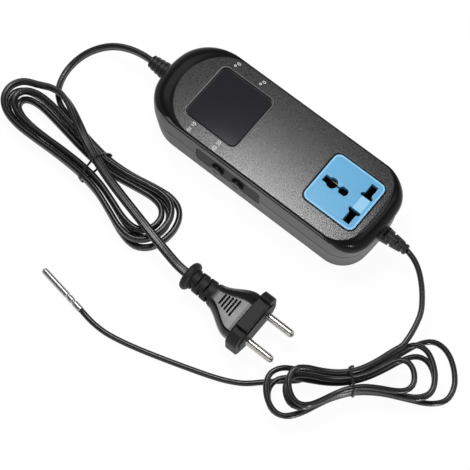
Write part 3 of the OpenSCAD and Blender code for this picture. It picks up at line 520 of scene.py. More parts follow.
def textured_housing(name, colour, wall):
    """Spark-textured flat top, glossy black where the ends roll over, matte wall below."""
    s = Shape()
    f = Finish(name)
    x, y, z = f.at()
    along, high = f.off_zero(x), f.times(z, 1 / MM)
    grain = f.plus(f.times(f.noise(2600, 2, 0.6), 0.5), f.times(f.noise(1300, 2, 0.6), 0.5))
    cloud = f.noise(40, 2)
    top = f.tint(f.past(grain, 0.40, 0.60), scaled(colour, 0.45), scaled(colour, 1.7))
    roll = f.tint(cloud, (0.0060, 0.0060, 0.0063), (0.0075, 0.0075, 0.0078))
    side = f.tint(grain, *around(wall, 0.14))

    # The textured field on the flat top, and the glossy roll above the matte wall
    flat = f.times(rounded_end(f, x, y, -(s.half_l - 39.5), 26.5, 2.0),
                   rounded_end(f, x, y, s.half_l - 26.5, 20.2, 2.6))
    rise = f.ramp(along, (s.half_l - 24) * MM, (s.half_l - 5) * MM, s.top - 0.75, s.fall_z + 0.3)
    upper = f.past(f.less(high, rise), -0.15, 0.15)

    # Painted shade: near-black lines along the seam's lip and in the groove of each side
    lip = f.past(z, (s.seam + 0.70) * MM, (s.seam + 0.82) * MM)
    clear = f.past(f.off_zero(f.less(z, (s.top - GROOVE_DEEP) * MM)), 0.80 * MM, 0.90 * MM)
    ends = f.past(along, 0.77 * s.half_l * MM, 0.78 * s.half_l * MM)
    line = f.times(lip, f.larger(clear, ends))
    body = f.blend(line, f.tint(cloud, *SEAM_SHADOW), f.blend(upper, side, roll))

    # Painted shade: the gaps round the window and the outlet, the outlet's chamfer and a thin band round it are
    # painted black; painted highlight: a light line on the window's chamfer
    inside = f.times(f.before(f.off_zero(y), 23 * MM, 23.4 * MM),
                     f.before(along, (s.half_l - 12) * MM, (s.half_l - 11.6) * MM))
    brim = f.ramp(x, -MM, MM, s.top - 0.39, s.top - 0.06)
    painted_gap_shade = f.times(inside, f.before(f.less(high, brim), -0.03, 0.03))
    painted_gap_shade = f.larger(painted_gap_shade, f.before(past_outlet(f, s, x, y), 0.90, 1.05))
    # Painted highlight: the window's chamfer painted light grey
    edge = f.times(f.times(inside, f.before(x, -MM, MM)), f.before(z, (s.top - 0.08) * MM, (s.top - 0.04) * MM))
    top = f.blend(edge, top, f.tint(grain, (0.13, 0.13, 0.13), (0.17, 0.17, 0.17)))
    f.paint(f.blend(painted_gap_shade, f.blend(flat, body, top), roll))

    flat = f.times(flat, f.before(painted_gap_shade, 0, 1))
    polish = f.larger(f.ramp(upper, 0, 1, 0.52, 0.20), f.ramp(flat, 0, 1, 0, 0.215))
    f.rough(f.plus(polish, f.ramp(grain, 0.3, 0.7, -0.035, 0.035)))
    f.link(f.ramp(f.less(upper, flat), 0, 1, 0.5, 0.07), f.shader.inputs["Specular IOR Level"])
    f.bump(f.times(grain, f.ramp(flat, 0, 1, 0.03, 1.0)), 0.00005, 0.8)
    return f.material


def side_wall(name, colour):
    """Matte lower shell with a fine grain and the shadow of the seam along its top edge."""
    seam = Shape().seam
    f = Finish(name).set(Specular_IOR_Level=0.4)
    grain = f.noise(1300, 3, 0.6)
    cloud = f.noise(35, 2)
    wall = f.tint(f.plus(f.times(cloud, 0.4), f.times(grain, 0.6)), *around(colour, 0.14))
    # Painted shade: a near-black band along the top edge, for the seam's shadow
    line = f.past(f.at()[2], (seam - 0.58) * MM, (seam - 0.46) * MM)
    f.paint(f.blend(line, wall, f.tint(cloud, *SEAM_SHADOW)))
    f.rough(f.ramp(grain, 0.3, 0.7, 0.48, 0.56))
    f.bump(grain, 0.0001, 0.5)
    return f.material


def jacket(name, colour):
    """Glossy black jacket of a lead, with faint changes of polish along it."""
    f = Finish(name).set(Specular_IOR_Level=0.5)
    patch = f.noise(18, 1)
    f.paint(f.tint(patch, colour, scaled(colour, 1.4)))
    f.rough(f.ramp(patch, 0.3, 0.7, 0.29, 0.33))
    return f.material


def metal(name, colour, rough=0.25, brushed=(1, 1, 1), depth=0):
    """Turned metal with faint changes of polish, brushed where it has a depth."""
    f = Finish(name).set(Metallic=1.0)
    line = f.noise(900 if depth else 40, 2, 0.5, stretch=brushed)
    f.paint(f.tint(line, *around(colour, 0.05)))
    f.rough(f.ramp(line, 0.3, 0.7, rough - 0.01, rough + 0.03))
    if depth:
        f.bump(line, depth)
    return f.material


def dark_glass(name):
    """Tinted window: near black with a blue cast, evenly polished."""
    f = Finish(name).set(Specular_IOR_Level=0.22)
    f.paint(f.tint(f.noise(12, 1), (0.0150, 0.0146, 0.0190), (0.0165, 0.0160, 0.0205)))
    f.rough(f.ramp(f.noise(20, 1), 0.3, 0.7, 0.11, 0.13))
    return f.material


def board_green(name):
    """Solder mask over copper tracks."""
    f = Finish(name).set(Specular_IOR_Level=0.6)
    brick = f.node("ShaderNodeTexBrick", Scale=240.0)
    f.link(f.coords.outputs["Object"], brick.inputs["Vector"])
    tracks = brick.outputs["Fac"]
    f.paint(f.tint(f.past(tracks, 0, 1), (0.010, 0.085, 0.032), (0.020, 0.150, 0.055)))
    f.rough(f.ramp(f.noise(300, 2), 0.3, 0.7, 0.25, 0.35))
    f.bump(tracks, 0.00003)
    return f.material


def clear_glass(name):
    """Slightly cloudy clear glass."""
    f = Finish(name).set(Transmission_Weight=0.8, IOR=1.5)
    f.paint(f.tint(f.noise(60, 2), (0.80, 0.84, 0.82), (0.90, 0.93, 0.91)))
    f.rough(f.ramp(f.noise(200, 2), 0.3, 0.7, 0.03, 0.08))
    return f.material


FINISHES = {}


def finishes():
    """The finishes that the pieces share, made once."""
    if FINISHES:
        return FINISHES
    h = housing()
    FINISHES.update(
        top=textured_housing("textured top", tuple(h.top_colour), tuple(h.side_colour)),
        side=side_wall("matte side wall", tuple(h.side_colour)),
        panel=moulded("panel black", (0.010, 0.010, 0.0105), 0.5, 1200, 0.00004, 0.12, 0.12),
        key=moulded("key black", (0.008, 0.008, 0.0085), 0.36, 900, 0.00004, 0.12, 0.25),
        window=dark_glass("tinted window"),
        blue=outlet_plastic("outlet blue", tuple(outlet().colour)),
        # Painted shade: the outlet's inner body, one moulding with the blue face, is made near black for the
        # shade inside the outlet
        cavity=moulded("cavity black", (0.004, 0.004, 0.004), 0.7, 800, 0.00004),
        print=moulded("white print", (0.58, 0.58, 0.58), 0.60, 900, 0.00001, 0.03),
        jacket=jacket("lead jacket", tuple(leads().colour)),
        boot=moulded("strain relief rubber", (0.010, 0.010, 0.0105), 0.42, 1100, 0.00006),
        plug=plug_plastic("plug black", (0.0080, 0.0080, 0.0085)),
        tie=moulded("tie black", (0.006, 0.006, 0.006), 0.45, 1400, 0.00005),
        nickel=metal("bright nickel", (0.60, 0.58, 0.55), 0.28),
        probe=metal("probe steel", (0.46, 0.46, 0.47), 0.34),
        zinc=metal("zinc screw", (0.62, 0.62, 0.64), 0.34, (1, 1, 1), 0.00002),
        dark_screw=metal("black zinc screw", (0.10, 0.10, 0.11), 0.36, (1, 1, 1), 0.00002),
        # Painted shade: the contacts are far darker than brass, for the shade deep in the outlet's holes
        brass=metal("contact brass", (0.17, 0.13, 0.07), 0.50, (1, 1, 0.1), 0.00002),
        board=board_green("circuit board"),
        digit=moulded("digit block grey", (0.050, 0.050, 0.052), 0.5, 700, 0.00003),
        relay=moulded("relay case blue", (0.020, 0.090, 0.330), 0.35, 700, 0.00003),
        film=moulded("film capacitor", (0.480, 0.300, 0.020), 0.32, 500, 0.00003),
        sleeve=moulded("capacitor sleeve", (0.010, 0.014, 0.035), 0.3, 500, 0.00002),
        disc=moulded("disc coating", (0.015, 0.075, 0.280), 0.35, 400, 0.00008),
        glass=clear_glass("fuse glass"),
        chip=moulded("chip resin", (0.010, 0.010, 0.010), 0.6, 1500, 0.00006),
        white=moulded("white nylon", (0.72, 0.72, 0.68), 0.42, 800, 0.00003, 0.05),
    )
    return FINISHES


# The finish of each solid that comes from the frame
CARRIED = {
    "upper_shell": "top", "lower_shell": "side", "button_panel": "panel", "display_window": "window",
    "up_button": "key", "down_button": "key", "up_plunger": "key", "down_plunger": "key",
    "case_screws": "dark_screw", "clamp_screws": "zinc", "lead_clamp": "white",
    "outlet_face": "blue", "outlet_body": "cavity", "outlet_base": "panel",
    "live_contact": "brass", "neutral_contact": "brass", "earth_contact": "brass",
    "main_board": "board", "display_board": "board", "key_board": "board",
    "upper_digits": "digit", "lower_digits": "digit", "key_switches": "chip", "controller_chip": "chip",
    "relay": "relay", "dropper_capacitor": "film", "smoothing_capacitor": "sleeve", "surge_disc": "disc",
    "fuse": "glass", "probe_header": "white", "mains_core": "jacket", "mains_boot": "boot",
    "probe_boot": "boot", "plug_body": "plug", "plug_pins": "nickel", "mains_tie": "tie",
    "probe_tie": "tie", "probe_tube": "probe",
}


# The leads' own lines, in millimetres

STEPS_PER_LOOP = 24
CLIMB = 0.5
MAINS_STEP = MAINS_WIDTH + 0.8
PROBE_STEP = PROBE_D + 0.6
WAIST_LIFT = 1.3
TIP_LIFT = PROBE_D + 1.2
EVEN_STEP = 2.4
PASS_Z = WAIST_LIFT + MAINS_WIDTH + MAINS_STEP + 0.6 + MAINS_THICK / 2
# Each hank: centre, turn, loops, layers, first angle, sense, reach ahead and behind, waist, bulges
MAINS_HANK = ((-81, -71.5), -5.1, 3.916, 2, 117, -1, (63.7, 54), (77.7, 64), (10.7, 2.1), (36, 20), (21, 11))
PROBE_HANK = ((120.4, -80.3), 48, 4.136, 4, 56, 1, (64.5, 50), (58.5, 45), (6.2, 2), (46, 24), (37, 20))


def ease(x):
    c = min(1.0, max(0.0, x))
    return c * c * (3 - 2 * c)


def mix(a, b, q):
    return a + (b - a) * q


def arc(x, y, r, start, end, steps, whole=False):
    """Points round a centre from one angle to another, with the last one where it is whole."""
    angles = (mix(start, end, i / steps) for i in range(steps + whole))
    return [(x + r * math.cos(t), y + r * math.sin(t)) for t in angles]


def hank_point(h, t, low, step, from_top, fan, tip):
    """The lead's place after t loops of its hank, in layers that climb where it crosses itself."""
    (cx, cy), turn, loops, layers, first, sense, ahead, behind, waist, bulge0, bulge1 = h
    f = math.radians(first + sense * 360 * t)
    c = math.cos(f)
    u = t * layers / loops
    k = math.floor(u)
    q = u - k if k % 2 == 0 else 1 - u + k
    up = sum(ease((t - j * loops / layers) / CLIMB + 0.5) for j in range(1, layers))
    rank = layers - 1 - up if from_top else up
    shrink = 1 - fan * rank
    reach = shrink * mix(*(ahead if c > 0 else behind), q)
    bulge = shrink * mix(*(bulge0 if c > 0 else bulge1), q)
    s, n = reach * c, math.sin(f) * (mix(*waist, q) + bulge * c * c)
    g = math.radians(turn)
    lift = WAIST_LIFT * math.sin(f) ** 6 + (tip * ease(-1.7 * c - 0.5) if c < 0 else 0)
    return Vector((cx + s * math.cos(g) - n * math.sin(g), cy + s * math.sin(g) + n * math.cos(g),
                   low + step * rank + lift))


def hank_path(h, low, step, from_top, fan, tip, stub):
    """A whole hank, with a straight level stub at each end."""
    loops = h[2]
    n = math.ceil(loops * STEPS_PER_LOOP - 1e-9)
    p = [hank_point(h, loops * i / n, low, step, from_top, fan, tip) for i in range(n + 1)]
    a = (p[0] - p[1]).normalized()
    b = (p[n] - p[n - 1]).normalized()
    return [p[0] + stub * Vector((a.x, a.y, 0))] + p + [p[n] + stub * Vector((b.x, b.y, 0))]


def lead_in(p, d):
    return [p[0] + d * (p[0] - p[1]).normalized(), p[0]]


def lead_out(p, d):
    return [p[-1], p[-1] + d * (p[-1] - p[-2]).normalized()]


def vectors(*points):
    return [Vector(p) for p in points]


MAINS_LOOPS = hank_path(MAINS_HANK, MAINS_WIDTH / 2, MAINS_STEP, False, 0.04, 0, MAINS_WIDTH)
PROBE_LOOPS = hank_path(PROBE_HANK, PROBE_D / 2, PROBE_STEP, True, 0.11, TIP_LIFT, PROBE_D)
MAINS_ROUTE = vectors(
    (-95.1, 0, 19.6), (-101.5, -0.2, 19.2), (-109, -1, 17.6), (-117, -3.1, 15.4), (-124.2, -6.5, 12.4),
    (-130.3, -11.8, 9.4), (-134.7, -18.6, 6.8), (-137, -26.4, 4.6), (-137, -34.4, 3.3),
    (-134.8, -42, 2.9), (-131.2, -47.6, 2.9), (-126.6, -51.4, 2.9),
) + lead_in(MAINS_LOOPS, 1)
PLUG_ROUTE = lead_out(MAINS_LOOPS, 1) + vectors(
    (-129, -48.6, 11), (-121.5, -50.2, 13.6), (-114, -53.2, 15.6), (-106.5, -57, 16.4), (-98, -61.4, 16.6),
    (-89, -65.6, PASS_Z), (-79.5, -69.4, PASS_Z), (-66, -74, 16.2), (-52, -77.7, 16.2), (-40, -80.6, 16.2),
    (-29, -83.3, 16.2), (-18, -85.8, 15.6), (-7, -88, 14.2), (0, -89.1, 13.3), (6.4, -89.4, 13),
)
PROBE_ROUTE = vectors(
    (97.9, 0, 19.6), (103, -1.2, 19.4), (109.5, -4.5, 18.8), (116, -10, 17.8), (122, -17, 16.8),
    (127, -25.5, 15.8),
) + lead_in(PROBE_LOOPS, 6)
TAIL_ROUTE = lead_out(PROBE_LOOPS, 4) + vectors(
    (95, -96, 1.7), (87, -103, 1.7), (79.5, -110, 1.7), (72, -117, 1.7), (63.5, -122, 1.7), (54, -126, 1.7),
    (44, -129.5, 1.7), (33.5, -133, 1.7), (22.5, -136.5, 1.7), (11.5, -139.8, 1.7), (0.5, -142.6, 1.7),
    (-10, -144.4, 1.7), (-20, -144.4, 1.8), (-29.6, -143, 2.0),
)


def between(a, b, t, start, end):
    """The place between a and b at t, where a is at start and b at end."""
    return (end - t) / (end - start) * a + (t - start) / (end - start) * b


def threaded(points, parts):
    """A smooth line through the points: (place, turn) pairs, with parts steps between two points."""
    out = []
    n = len(points)
    for i in range(n - 1):
        p0, p1, p2, p3 = (points[max(0, min(n - 1, j))] for j in (i - 1, i, i + 1, i + 2))
        if i == 0:
            p0 = (2 * p1[0] - p2[0], p1[1])
        if i == n - 2:
            p3 = (2 * p2[0] - p1[0], p2[1])
        k = [0.0]
        for a, b in ((p0, p1), (p1, p2), (p2, p3)):
            k.append(k[-1] + max(1e-6, (b[0] - a[0]).length) ** 0.5)
        for s in range(parts):
            t = mix(k[1], k[2], s / parts)
            a1 = between(p0[0], p1[0], t, k[0], k[1])
            a2 = between(p1[0], p2[0], t, k[1], k[2])
            a3 = between(p2[0], p3[0], t, k[2], k[3])
            b1, b2 = between(a1, a2, t, k[0], k[2]), between(a2, a3, t, k[1], k[3])
            out.append((between(b1, b2, t, k[1], k[2]), mix(p1[1], p2[1], s / parts)))
    out.append(points[-1])
    return out


def evened(line, step):
    """The same line with its points an even step apart."""
    out, left = [line[0]], step
    for (a, turn), (b, last) in zip(line, line[1:]):
        while (b - a).length >= left:
            q = left / (b - a).length
            a, turn, left = a.lerp(b, q), mix(turn, last, q), step
            out.append((a, turn))
        left -= (b - a).length
    if (out[-1][0] - line[-1][0]).length < 0.5 * step:
        out.pop()
    return out + [line[-1]]


def twin_section(thick, width, parts=10):
    """Outline of a flat twin lead standing on edge, with a groove down both faces."""
    r = thick / 2
    c = width / 2 - r
    low = math.asin(c / r)
    top = arc(0, c, r, -low, math.pi + low, parts)
    return top + [(-x, -y) for x, y in top]


def tube(name, line, section):
    """A jacket along a line, closed at both ends, with a UV map that runs round and along it."""
    n, m = len(section), len(line)
    points, run = [], [0.0]
    for i, (at, turn) in enumerate(line):
        along = (line[min(m - 1, i + 1)][0] - line[max(0, i - 1)][0]).normalized()
        side = Vector((0, 0, 1)).cross(along).normalized()
        up = along.cross(side)
        c, s = math.cos(turn), math.sin(turn)
        for x, y in section:
            points.append((at + side * (x * c - y * s) + up * (x * s + y * c)) * MM)
        if i:
            run.append(run[-1] + (at - line[i - 1][0]).length)
    piece = from_points(name, points, skin(n, m))
    uv = piece.data.uv_layers.new(name="UVMap")
    for f in piece.data.polygons:
        f.use_smooth = f.index > 1
        for slot, loop in enumerate(f.loop_indices):
            v = piece.data.loops[loop].vertex_index
            closing = f.index > 1 and slot in (1, 2) and v % n == 0
            uv.data[loop].uv = (1.0 if closing else (v % n) / n, run[v // n] * MM * 10)
    return facing_out(piece)


def skin(n, m):
    """Faces of a closed skin over m rings of n points: both ends first, then the sides."""
    faces = [list(range(n))[::-1], [(m - 1) * n + k for k in range(n)]]
    for j in range(m - 1):
        for i in range(n):
            faces.append([j * n + i, j * n + (i + 1) % n, (j + 1) * n + (i + 1) % n, (j + 1) * n + i])
    return faces


# Outlines and places on the housing, in millimetres

WINDOW_X = -34.5
RECESS = (38.3, 39.3)
RECESS_R = 4.1
LENS = (36.4, 37.4, 1.6)
LENS_SUNK = 0.8
FIELD_HALF_W = 28.4
GROOVE_DEEP = 2.9
SEAT_R = 4.5
FLANGE_SEAT_R = 5.55
BOTTOM_R = 2.4
TOP_EDGE_R = 1.5
LEFT_DRAFT, RIGHT_DRAFT, SIDE_DRAFT = 1.9, 0.95, 0.8
LEFT_FALL, RIGHT_FALL = 14.5, 8.4
CLEARANCE = 0.5
PANEL_X, PANEL_Z, BUTTON_Z = -11.6, 20.6, 19.88
BUTTON_OFF = 7.5
PANEL_SUNK = 0.35
PILLARS = ((-66.015, 16.8), (-66.015, -16.8), (27.1, 23.3), (27.1, -23.3))
WELL_R, PILLAR_R = 3.1, 4.2
OUTLET_PROUD = 0.22
PLUG_AT = (6.4, -89.4, 13.0)
FLARE_START, FLARE_LONG, COLLAR_START = 20.5, 23.5, 44
FLARE_HALF_W, FLARE_HALF_H = (7.28, 15.96), (6.5, 8.06)
PIN_R, PIN_OFF = 2.4, 9.5
VIEW_CENTRE = (10.30, -49.79, 0)
UPRIGHT = (math.radians(90), 0, 0)
FACING_X = (0, math.radians(90), 0)
SIDES = (-1, 1)


class Shape:
    """The housing's lines, from the sizes in the panel."""

    def __init__(self):
        h, o = housing(), outlet()
        self.half_l, self.half_w = h.length / MM / 2, h.width / MM / 2
        self.top, self.seam, self.wall = h.height / MM, h.seam / MM, h.wall / MM
        self.inner = self.top - self.wall
        self.fall_z = 0.74 * self.top
        self.left_wall, self.right_wall = -self.half_l, self.half_l - 1.2
        self.outlet_x = o.x / MM
        self.outlet_l, self.outlet_w, self.outlet_r = o.length / MM, o.width / MM, o.corner / MM

    def end(self, length, width, crown, corner):
        """A quarter of the outline: a wide crown that a tighter corner joins to the side."""
        cy = width - corner
        cx = length - crown + math.sqrt((crown - corner) ** 2 - cy * cy)
        a = math.atan2(cy, cx - length + crown)
        return arc(length - crown, 0, crown, 0, a, 8) + arc(cx, cy, corner, a, math.pi / 2, 14, whole=True)

    def outline(self, left, right, width, inset):
        r = self.end(right, width, 1.48 * self.half_l - inset, 0.6 * self.half_w - inset)
        l = self.end(left, width, 0.64 * self.half_l - inset, 0.8 * self.half_w - inset)
        return (r + [(-x, y) for x, y in reversed(l)] + [(-x, -y) for x, y in l[1:]]
                + [(x, -y) for x, y in reversed(r[1:])])

    def low_ring(self, z, inset, at=None):
        """The lower shell's outline at a height, drawn in by the inset; at moves it to another height."""
        k = 1 - z / self.seam
        f = BOTTOM_R - math.sqrt(BOTTOM_R ** 2 - (BOTTOM_R - z) ** 2) if z < BOTTOM_R else 0
        points = self.outline(
            self.half_l - LEFT_DRAFT * k - f - inset, self.right_wall - RIGHT_DRAFT * k - f - inset,
            self.half_w - SIDE_DRAFT * k - f - inset, inset + f)
        return [(x, y, z if at is None else at) for x, y in points]

    def top_ring(self, angle, inset):
        """The upper shell's outline, from where its ends begin to fall, 0, to the flat top, 90."""
        a = math.radians(angle)
        z = self.fall_z + (self.top - inset - self.fall_z) * math.sin(a)
        e = z - (self.top - inset - TOP_EDGE_R)
        side = TOP_EDGE_R - math.sqrt(max(0, TOP_EDGE_R ** 2 - e * e)) if e > 0 else 0
        drop = 1 - math.cos(a)
        w = self.half_w - SIDE_DRAFT * (z - self.seam) / (self.top - self.seam) - side - inset
        points = self.outline(
            self.half_l - LEFT_FALL * drop - inset, self.half_l - RIGHT_FALL * drop - inset, w,
            inset + 0.4 * RIGHT_FALL * drop)
        return [(x, y, z) for x, y in points]


def lofted(name, rings):
    """A closed skin between rings of equal length, given in millimetres."""
    points = [Vector(p) * MM for ring in rings for p in ring]
    return facing_out(from_points(name, points, skin(len(rings[0]), len(rings))))


def post(x, y, low, high, r, steps=24):
    """A plain post with a small round at both ends, in millimetres."""
    e = min(0.3, 0.2 * r)
    profile = [(0, low), (r - e, low), (r, low + e), (r, high - e), (r - e, high), (0, high)]
    return turned(profile, (x, y, 0), (0, 0, 1), steps)


def plunge(r, low, high, centre, axis, steps=48):
    """A round cutter."""
    return turned([(0, low), (r, low), (r, high), (0, high)], centre, axis, steps)


def flared(size, x, low, high, corner, flare):
    """A cutter that widens towards its top, for the chamfer round an opening."""
    piece = block((*size, high - low), (0, 0, 0), corner)
    edit(piece, faces=lambda f: f.normal.z > 0.5)
    bpy.ops.transform.resize(value=((size[0] + 2 * flare) / size[0], (size[1] + 2 * flare) / size[1], 1))
    close_edit()
    piece.location = mm(x, 0, (low + high) / 2)
    return piece


def sheet_of(name, outer, holes, low, high, bevel):
    """A flat plate from its outline and the outlines of its holes, all with a small bevel."""
    curve = curve_of(name, "2D", [[mm(x, y, 0) for x, y in ring] for ring in [outer] + holes], True)
    curve.fill_mode = "BOTH"
    curve.extrude = (high - low) / 2 * MM - bevel * MM
    curve.bevel_depth = bevel * MM
    curve.bevel_resolution = 2
    curve.offset = -bevel * MM
    piece = as_mesh(linked(name, curve))
    piece.location.z = (low + high) / 2 * MM
    return facing_out(settle(piece), merge=True)


def round_outline(length, width, corner, steps=8):
    """A rectangle with round corners, about the middle."""
    out = []
    for k, (sx, sy) in enumerate(((1, 1), (-1, 1), (-1, -1), (1, -1))):
        for i in range(steps + 1):
            t = math.pi / 2 * (k + i / steps)
            out.append((sx * (length / 2 - corner) + corner * math.cos(t),
                        sy * (width / 2 - corner) + corner * math.sin(t)))
    return out


def live_aperture(line_x, side):
    """A slot for a flat or a round pin, which widens towards the middle of the outlet."""
    half = [(-4, 4.8), (4, 4.8), (4, 6.36), (2.3, 7.51), (2.3, 14.2), (-2.3, 14.2), (-2.3, 7.51), (-4, 6.36)]
    points = [(x + line_x, side * y) for x, y in half]
    return points if side > 0 else points[::-1]


def earth_aperture(line_x):
    """The earth slot with its round hole, and the second hole that a short neck joins to it."""
    ex, gx = line_x - 22.2, line_x - 11.9
    earth_r, ground_r = 3.5, 3
    c1, c2 = ex + 1.634, gx - 0.48
    a0, a1 = math.pi - math.asin(2.2 / earth_r), math.asin(0.528 / earth_r)
    b0, b1 = math.pi - math.asin(0.84 / ground_r), math.pi - math.asin(0.8)
    up = [(ex - 4.3, 2.2)]
    up += arc(c1, 0, earth_r, a0, a1, 16, whole=True)
    up += [(gx - 3.36, 0.528)]
    up += arc(c2, 0, ground_r, b0, b1, 4, whole=True)
    up += arc(c2, 0, ground_r, math.pi - b1, 0, 8)
    return [(x, -y) for x, y in up] + [(c2 + ground_r, 0)] + up[::-1]


def wall_openings(s):
    """What both shells leave free for the side panel and the strain reliefs."""
    stepped = [(0, -5), (SEAT_R, -5), (SEAT_R, 0), (FLANGE_SEAT_R, 0), (FLANGE_SEAT_R, 3), (0, 3)]
    return (
        block((47.9, 14.7, 6), (PANEL_X, -s.half_w, PANEL_Z), 2.3, 0, UPRIGHT),
        plunge(SEAT_R, -1, 5, (s.left_wall, 0, s.seam), (1, 0, 0), 40),
        turned(stepped, (s.right_wall, 0, s.seam), (1, 0, 0), 40),
    )


# The steps, one operator for each piece or group of like pieces

class CONTROLLER_OT_camera(bpy.types.Operator):
    """Sets the camera at the angle from which the controller is shown"""
    bl_idname = "controller.camera"
    bl_label = "Camera"

    def execute(self, context):
        s = studio()
        a, e = s.azimuth, s.elevation
        ahead = Vector((-math.sin(a) * math.cos(e), math.cos(a) * math.cos(e), -math.sin(e)))
        right = Vector((math.cos(a), math.sin(a), 0))
        turn = Matrix((right, right.cross(ahead), -ahead)).transposed()
        camera = linked("camera", bpy.data.cameras.new("camera"))
        camera.matrix_world = Matrix.Translation(Vector(mm(*VIEW_CENTRE)) - ahead * s.distance) @ turn.to_4x4()
        camera.data.lens = s.lens
        camera.data.clip_end = 20
        context.scene.camera = camera
        return {"FINISHED"}


class CONTROLLER_OT_mains_lead(bpy.types.Operator):
    """Builds the flat mains lead from the housing through its hank to the plug"""
    bl_idname = "controller.mains_lead"
    bl_label = "Mains Lead"

    def execute(self, context):
        width, thick = leads().mains_width, leads().mains_thick
        last = len(PLUG_ROUTE) - 1
        quarter = [math.radians(90) * ease(3 * (i / last - 0.1)) for i in range(last + 1)]
        points = [(p, 0.0) for p in MAINS_ROUTE[:-1] + MAINS_LOOPS] + list(zip(PLUG_ROUTE, quarter))[1:]
        line = evened(threaded(points, 3), EVEN_STEP)
        piece = smooth(tube("mains_cord", line, twin_section(thick / MM, width / MM)), 50)
        place(piece, "mains_cord", "jacket", stands_for=("mains_lead", "mains_hank", "plug_lead"))
        return {"FINISHED"}


class CONTROLLER_OT_probe_lead(bpy.types.Operator):
    """Builds the round probe lead from the housing through its hank to the steel tube"""
    bl_idname = "controller.probe_lead"
    bl_label = "Probe Lead"

    def execute(self, context):
        wide = leads().probe_d
        points = [(p, 0.0) for p in PROBE_ROUTE[:-1] + PROBE_LOOPS + TAIL_ROUTE[1:]]
        line = evened(threaded(points, 3), EVEN_STEP)
        piece = tube("probe_cord", line, arc(0, 0, wide / MM / 2, 0, 2 * math.pi, 14))
        place(piece, "probe_cord", "jacket", stands_for=("probe_lead", "probe_hank", "probe_tail"))
        return {"FINISHED"}


class CONTROLLER_OT_upper_housing(bpy.types.Operator):
    """Builds the textured upper shell with its recess, outlet opening, side grooves and pillars"""
    bl_idname = "controller.upper_housing"
    bl_label = "Upper Housing"

    def execute(self, context):
        s = Shape()
        rings = [s.top_ring(a, s.wall) for a in (90, 80, 70, 58, 44, 28, 12, 0)]
        rings += [s.low_ring(s.seam, inset, s.seam + up)
                  for inset, up in ((s.wall, 1.5), (1.0, 1.5), (1.0, 0.05), (0.15, 0.05), (0, 0.2))]
        rings += [s.top_ring(a, 0)
                  for a in (0, 9, 18, 27, 36, 44, 51, 58, 63, 68, 72, 76, 79, 82, 84.5, 86.5, 88.3, 90)]
        shell = lofted("upper_housing", rings)
        hole = (s.outlet_l + CLEARANCE, s.outlet_w + CLEARANCE)
        cut(shell,
            block((*RECESS, 4), (WINDOW_X, 0, s.top - 2.3 + 2), RECESS_R),
            flared(RECESS, WINDOW_X, s.top - 0.35, s.top + 0.2, RECESS_R, 0.75),
            block((33, 34, 8), (WINDOW_X, 0, s.top - 3), 3),
            block((*hole, 8), (s.outlet_x, 0, s.top - 2), s.outlet_r + 0.2),
            flared(hole, s.outlet_x, s.top - 0.3, s.top + 0.2, s.outlet_r + 0.2, 0.5),
            *wall_openings(s))
        for side in SIDES:
            at = (0.02 * s.half_l, side * (s.half_w - 0.8), s.top - GROOVE_DEEP)
            cut(shell, block((0.76 * 2 * s.half_l, 1.0, 1.6), at, 0, 0.2))
        # Inside: the screws' pillars, the display board's posts and the ribs round the window
        inner = [post(x, y, s.seam, s.inner + 0.1, PILLAR_R) for x, y in PILLARS]
        inner += [post(WINDOW_X + sx * 21.4, sy * 21.9, 27.05, s.inner + 0.1, 2.2)
                  for sx in SIDES for sy in SIDES]
        for side in SIDES:
            inner.append(block((4.2, 34, 1.9), (WINDOW_X + side * 18.9, 0, s.inner - 0.85), 0.4, 0.2))
            inner.append(block((42, 4.2, 1.9), (WINDOW_X, side * 19.4, s.inner - 0.85), 0.4, 0.2))
        shell = smooth(joined([shell] + inner, "upper_housing"), 28)
        place(shell, "upper_housing", "top", stands_for=("upper_shell",))
        return {"FINISHED"}


class CONTROLLER_OT_lower_housing(bpy.types.Operator):
    """Builds the matte lower shell with its lip, pillars, board posts and clamp posts"""
    bl_idname = "controller.lower_housing"
    bl_label = "Lower Housing"

    def execute(self, context):
        s = Shape()
        rings = [s.low_ring(BOTTOM_R * k, 0) for k in (0, 0.04, 0.12, 0.24, 0.4, 0.6, 0.8, 1)]
        rings += [s.low_ring(0.5 * s.seam, 0), s.low_ring(s.seam - 0.25, 0),
                  s.low_ring(s.seam - 0.08, 0.12), s.low_ring(s.seam - 0.05, 1.1)]
        rings += [s.low_ring(s.seam, inset, s.seam + up)
                  for inset, up in ((1.1, 1.3), (1.2, 1.4), (2.0, 1.4), (s.wall, -1.4))]
        rings += [s.low_ring(s.wall + BOTTOM_R * k, s.wall) for k in (1, 0.6, 0.3, 0.1, 0)]
        shell = lofted("lower_housing", rings)
        cut(shell, *wall_openings(s), *(post(x, y, -2, 8, WELL_R) for x, y in PILLARS))
        # Each pillar is a sleeve round the screw's well, narrow above the screw's head
        high, sleeve = s.seam - 0.1, WELL_R + 0.05
        sleeve_line = [(sleeve, 0.4), (PILLAR_R, 0.4), (PILLAR_R, high), (1.7, high), (1.7, 8.1),
                       (sleeve, 8.1), (sleeve, 0.4)]
        inner = [turned(sleeve_line, (x, y, 0), (0, 0, 1), 32) for x, y in PILLARS]
        # The main board's posts, and the ribs that carry the outlet
        board_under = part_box("main_board")[0][2] / MM
        inner += [post(x, sy * 18.1, s.wall - 0.3, board_under - 0.05, 2.6)
                  for x in (-55.1, 23.7) for sy in SIDES]
        inner += [block((2.2, 34, 11.2), (s.outlet_x + sx * 8, 0, 7.6), 0.4, 0.2) for sx in SIDES]
        shell = smooth(joined([shell] + inner, "lower_housing"), 28)
        place(shell, "lower_housing", "side", stands_for=("lower_shell",))
        return {"FINISHED"}


class CONTROLLER_OT_window(bpy.types.Operator):
    """Sets the tinted window into its recess, with a small round along its edge"""
    bl_idname = "controller.window"
    bl_label = "Display Window"

    def execute(self, context):
        middle = Shape().top - LENS_SUNK - LENS[2] / 2
        lens = smooth(block(LENS, (WINDOW_X, 0, middle), 3.4, 0.25, segments=8), 40)
        place(lens, "window_lens", "window", stands_for=("display_window",))
        return {"FINISHED"}


